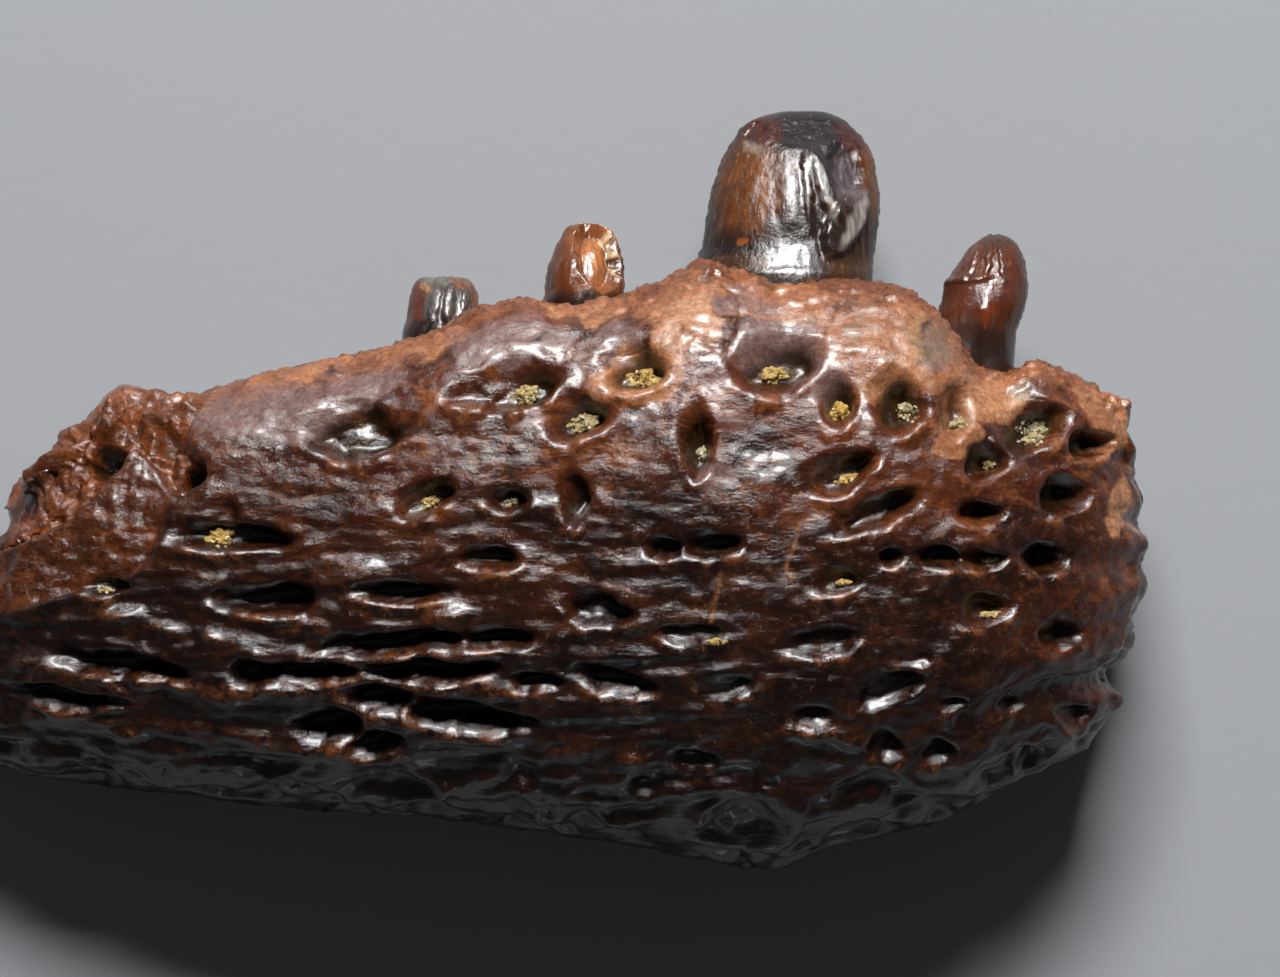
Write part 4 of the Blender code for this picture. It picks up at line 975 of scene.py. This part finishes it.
def bone_material():
    s = Shader("fossil_bone")
    broad = s.span(s.noise(4.5, 4.0, 0.6, distortion=0.6), 0.40, 0.62)
    mottle = s.span(s.noise(1.2, 7.0, 0.72, stretch=(1.8, 1, 1), distortion=0.8), 0.47, 0.66)
    grey = s.span(s.noise(1.4, 7.0, 0.74, stretch=(1.4, 1, 1), distortion=0.5), 0.5, 0.66)
    red = s.span(s.noise(2.2, 6.0, 0.7, distortion=0.7), 0.46, 0.6)
    fine = s.span(s.noise(0.24, 6.0, 0.75), 0.42, 0.62)
    specks = s.span(s.noise(0.5, 6.0, 0.78), 0.58, 0.68)
    ragged = s.noise(1.0, 7.0, 0.74)
    under = s.mask("under")

    def frayed(name, *limits):
        return s.times(s.mask(name), s.span(ragged, *limits))

    def patchy(name, full):
        return s.span(s.math("ADD", s.mask(name), s.times(ragged, 1.5)), 0.9, full)

    colour = s.over(
        s.mix(broad, shade(46, 25, 18), shade(78, 42, 25)),
        (red, 0.55, shade(76, 31, 20)), (mottle, 0.65, shade(124, 70, 36)),
        (grey, 0.35, shade(78, 56, 44)), (specks, 0.45, shade(146, 94, 56)),
    )
    colour = s.mix(frayed("dark", 0.4, 0.62, 0.85, 0.55), colour, shade(15, 9, 7))
    # Painted shade: near-black laid over the lower part and the underside, darker towards the bottom
    painted_underside_shade = s.over(shade(14, 9, 7), (mottle, 0.6, shade(48, 26, 16)))
    tan = patchy("tan", 1.5)
    tan_tone = s.mix(broad, shade(160, 108, 74), shade(134, 84, 54))
    tan_tone = s.over(tan_tone, (mottle, 0.6, shade(188, 142, 108)), (grey, 0.4, shade(116, 86, 72)))
    # The mauve-grey patches are partly the bone's own tone, partly a painted pale sheen
    mauve_and_sheen = patchy("mauve_and_sheen", 1.55)
    mauve_and_sheen_tone = s.mix(mottle, shade(112, 88, 84), shade(78, 58, 54))
    mauve_and_sheen_tone = s.over(mauve_and_sheen_tone, (specks, 0.6, shade(160, 118, 88)))
    colour = s.over(colour, (under, 0.92, painted_underside_shade), (tan, 0.85, tan_tone), (mauve_and_sheen, 0.75, mauve_and_sheen_tone))
    margin_tone = s.mix(broad, shade(146, 88, 52), shade(112, 64, 38))
    colour = s.mix(frayed("margin", 0.4, 0.6, 0.3, 0.85), colour, margin_tone)
    stain_tone = s.mix(mottle, shade(92, 80, 58), shade(112, 98, 78))
    colour = s.mix(frayed("stain", 0.4, 0.6, 0.2, 0.8), colour, stain_tone)

    rust = s.mix(fine, shade(64, 32, 13), shade(124, 64, 26))
    rust = s.over(rust, (mottle, 0.6, shade(160, 86, 36)), (grey, 0.6, shade(52, 34, 24)))
    colour = s.over(colour, (s.mask("broken"), 0.92, rust))
    lip = s.times(frayed("lip", 0.42, 0.6, 0.0, 0.6), s.span(under, 0.0, 0.6, 1.0, 0.7))
    colour = s.mix(lip, colour, shade(140, 82, 46))
    colour = s.mix(frayed("vein", 0.4, 0.6, 0.3, 0.8), colour, shade(132, 86, 54))
    # Pit floors: an olive fill, partly real, partly painted shade; near-black on the underside, painted shade
    pit_fill_and_shade = s.mix(under, s.mix(grey, shade(34, 25, 13), shade(74, 56, 28)), shade(12, 8, 7))
    colour = s.over(
        colour, (s.mask("crack"), 0.8, shade(80, 46, 28)), (s.mask("pit"), 0.9, pit_fill_and_shade),
        (fine, 0.45, s.mix(broad, shade(34, 21, 17), shade(22, 14, 11))),
        (s.mask("spot"), 0.85, shade(24, 20, 20)),
    )

    roughness = s.span(s.noise(0.5, 6.0, 0.75), 0.4, 0.62, 0.1, 0.27)
    pale = s.math("MAXIMUM", tan, mauve_and_sheen)
    roughness = s.math("ADD", roughness, s.times(pale, 0.14))
    lines = s.noise(0.5, 6.0, 0.64, stretch=(1.9, 0.8, 1.0), distortion=0.4)
    normal = s.bump(lines, 0.12, s.span(pale, 0.0, 1.0, 0.65, 0.35))
    normal = s.bump(s.noise(0.16, 5.0, 0.68), 0.05, 0.55, under=normal)
    normal = s.bump(s.noise(0.35, 5.0, 0.6), 0.22, s.times(s.mask("broken"), 0.7), under=normal)
    return s.finish(colour, roughness, normal, coat=0.2, coat_roughness=0.08)


def enamel_material(name, streak_strength):
    s = Shader(name)
    streaks = s.noise(0.30, 5.0, 0.62, stretch=(0.7, 14.0, 0.7), distortion=0.3)
    bands = s.noise(0.9, 4.0, 0.6, stretch=(0.6, 5.0, 0.6), distortion=0.4)
    tone = s.mask("tone", "Color")
    darker = s.mix(0.72, tone, (0.012, 0.008, 0.007))
    paler = s.mix(0.35, tone, (0.38, 0.26, 0.15))
    colour = s.over(
        tone, (s.span(bands, 0.46, 0.6), streak_strength, darker),
        (s.span(streaks, 0.45, 0.6), streak_strength, darker), (s.span(streaks, 0.40, 0.30), 0.5, paler),
    )
    roughness = s.span(s.noise(0.5, 4.0), 0.3, 0.7, 0.14, 0.3)
    normal = s.bump(streaks, 0.05, 0.7)
    normal = s.bump(s.noise(0.16, 4.0, 0.65), 0.03, 0.8, under=normal)
    return s.finish(colour, roughness, normal, coat=0.25, coat_roughness=0.14)


def sand_material():
    s = Shader("lodged_sand")
    kind = s.mask("grain")
    grain = s.mix(s.span(kind, 0.25, 0.3), shade(98, 95, 76), shade(140, 132, 102))
    grain = s.mix(s.span(kind, 0.6, 0.65), grain, shade(178, 176, 162))
    golden = s.mix(s.span(kind, 0.35, 0.4), shade(112, 86, 38), shade(156, 124, 56))
    golden = s.mix(s.span(kind, 0.8, 0.85), golden, shade(200, 176, 124))
    tone = s.mix(s.mask("yellow"), grain, golden)
    stain = s.span(s.noise(0.2, 5.0, 0.7), 0.48, 0.66)
    colour = s.over(tone, (stain, 0.85, shade(84, 60, 32)))
    normal = s.bump(s.noise(0.08, 4.0, 0.7), 0.04)
    return s.finish(colour, s.span(s.noise(0.3), 0.3, 0.7, 0.5, 0.85), normal)


def floor_material():
    s = Shader("plain_floor")
    colour = s.mix(s.noise(180.0, 1.0), shade(128, 130, 133), shade(134, 136, 139))
    return s.finish(colour, 0.85, s.bump(s.noise(1.0, 2.0), 0.01))


def make_floor():
    bpy.ops.mesh.primitive_plane_add(size=4.0, location=(0, 0, 0))
    floor = bpy.context.object
    floor.name = "floor"
    floor.data.materials.append(floor_material())


def add_area_light(name, place, aim, size, power, colour):
    data = bpy.data.lights.new(name, "AREA")
    data.shape = "RECTANGLE"
    data.size, data.size_y = size
    data.energy = power
    data.color = colour
    light = bpy.data.objects.new(name, data)
    light.location = place
    light.rotation_euler = (Vector(aim) - Vector(place)).to_track_quat("-Z", "Y").to_euler()
    bpy.context.scene.collection.objects.link(light)


def make_lights():
    for light in LIGHTS:
        add_area_light(*light)
    world = bpy.data.worlds.new("studio")
    world.use_nodes = True
    world.node_tree.nodes["Background"].inputs["Color"].default_value = WORLD_COLOUR
    world.node_tree.nodes["Background"].inputs["Strength"].default_value = WORLD_STRENGTH
    bpy.context.scene.world = world


def set_view():
    bpy.context.scene.view_settings.view_transform = "Standard"


def make_camera():
    data = bpy.data.cameras.new("camera")
    data.sensor_width = SENSOR_WIDTH
    data.lens = SENSOR_WIDTH * CAMERA_DISTANCE / VIEW_WIDTH
    data.clip_start = 0.01
    camera = bpy.data.objects.new("camera", data)
    camera.location = (-FRAME_CENTRE[0] * MM, -FRAME_CENTRE[1] * MM, (CAMERA_DISTANCE + FOCUS_HEIGHT) * MM)
    bpy.context.scene.collection.objects.link(camera)
    bpy.context.scene.camera = camera


make_camera()
make_lights()
set_view()
make_floor()
bone_surface = make_bone(bone_material())
dark_enamel = enamel_material("dark_enamel", 0.6)
amber_enamel = enamel_material("amber_enamel", 0.45)
make_tooth(
    "tooth_large", LARGE_TOOTH, LARGE_FACETS, LARGE_TONES, dark_enamel, sides=220, steps=190
)
make_tooth("tooth_chipped", CHIPPED_TOOTH, CHIPPED_FACETS, CHIPPED_TONES, amber_enamel)
make_tooth("tooth_stub", STUB_TOOTH, STUB_FACETS, STUB_TONES, dark_enamel)
make_tooth("tooth_peg", PEG_TOOTH, PEG_FACETS, PEG_TONES, amber_enamel)
make_sand(bone_surface, sand_material())
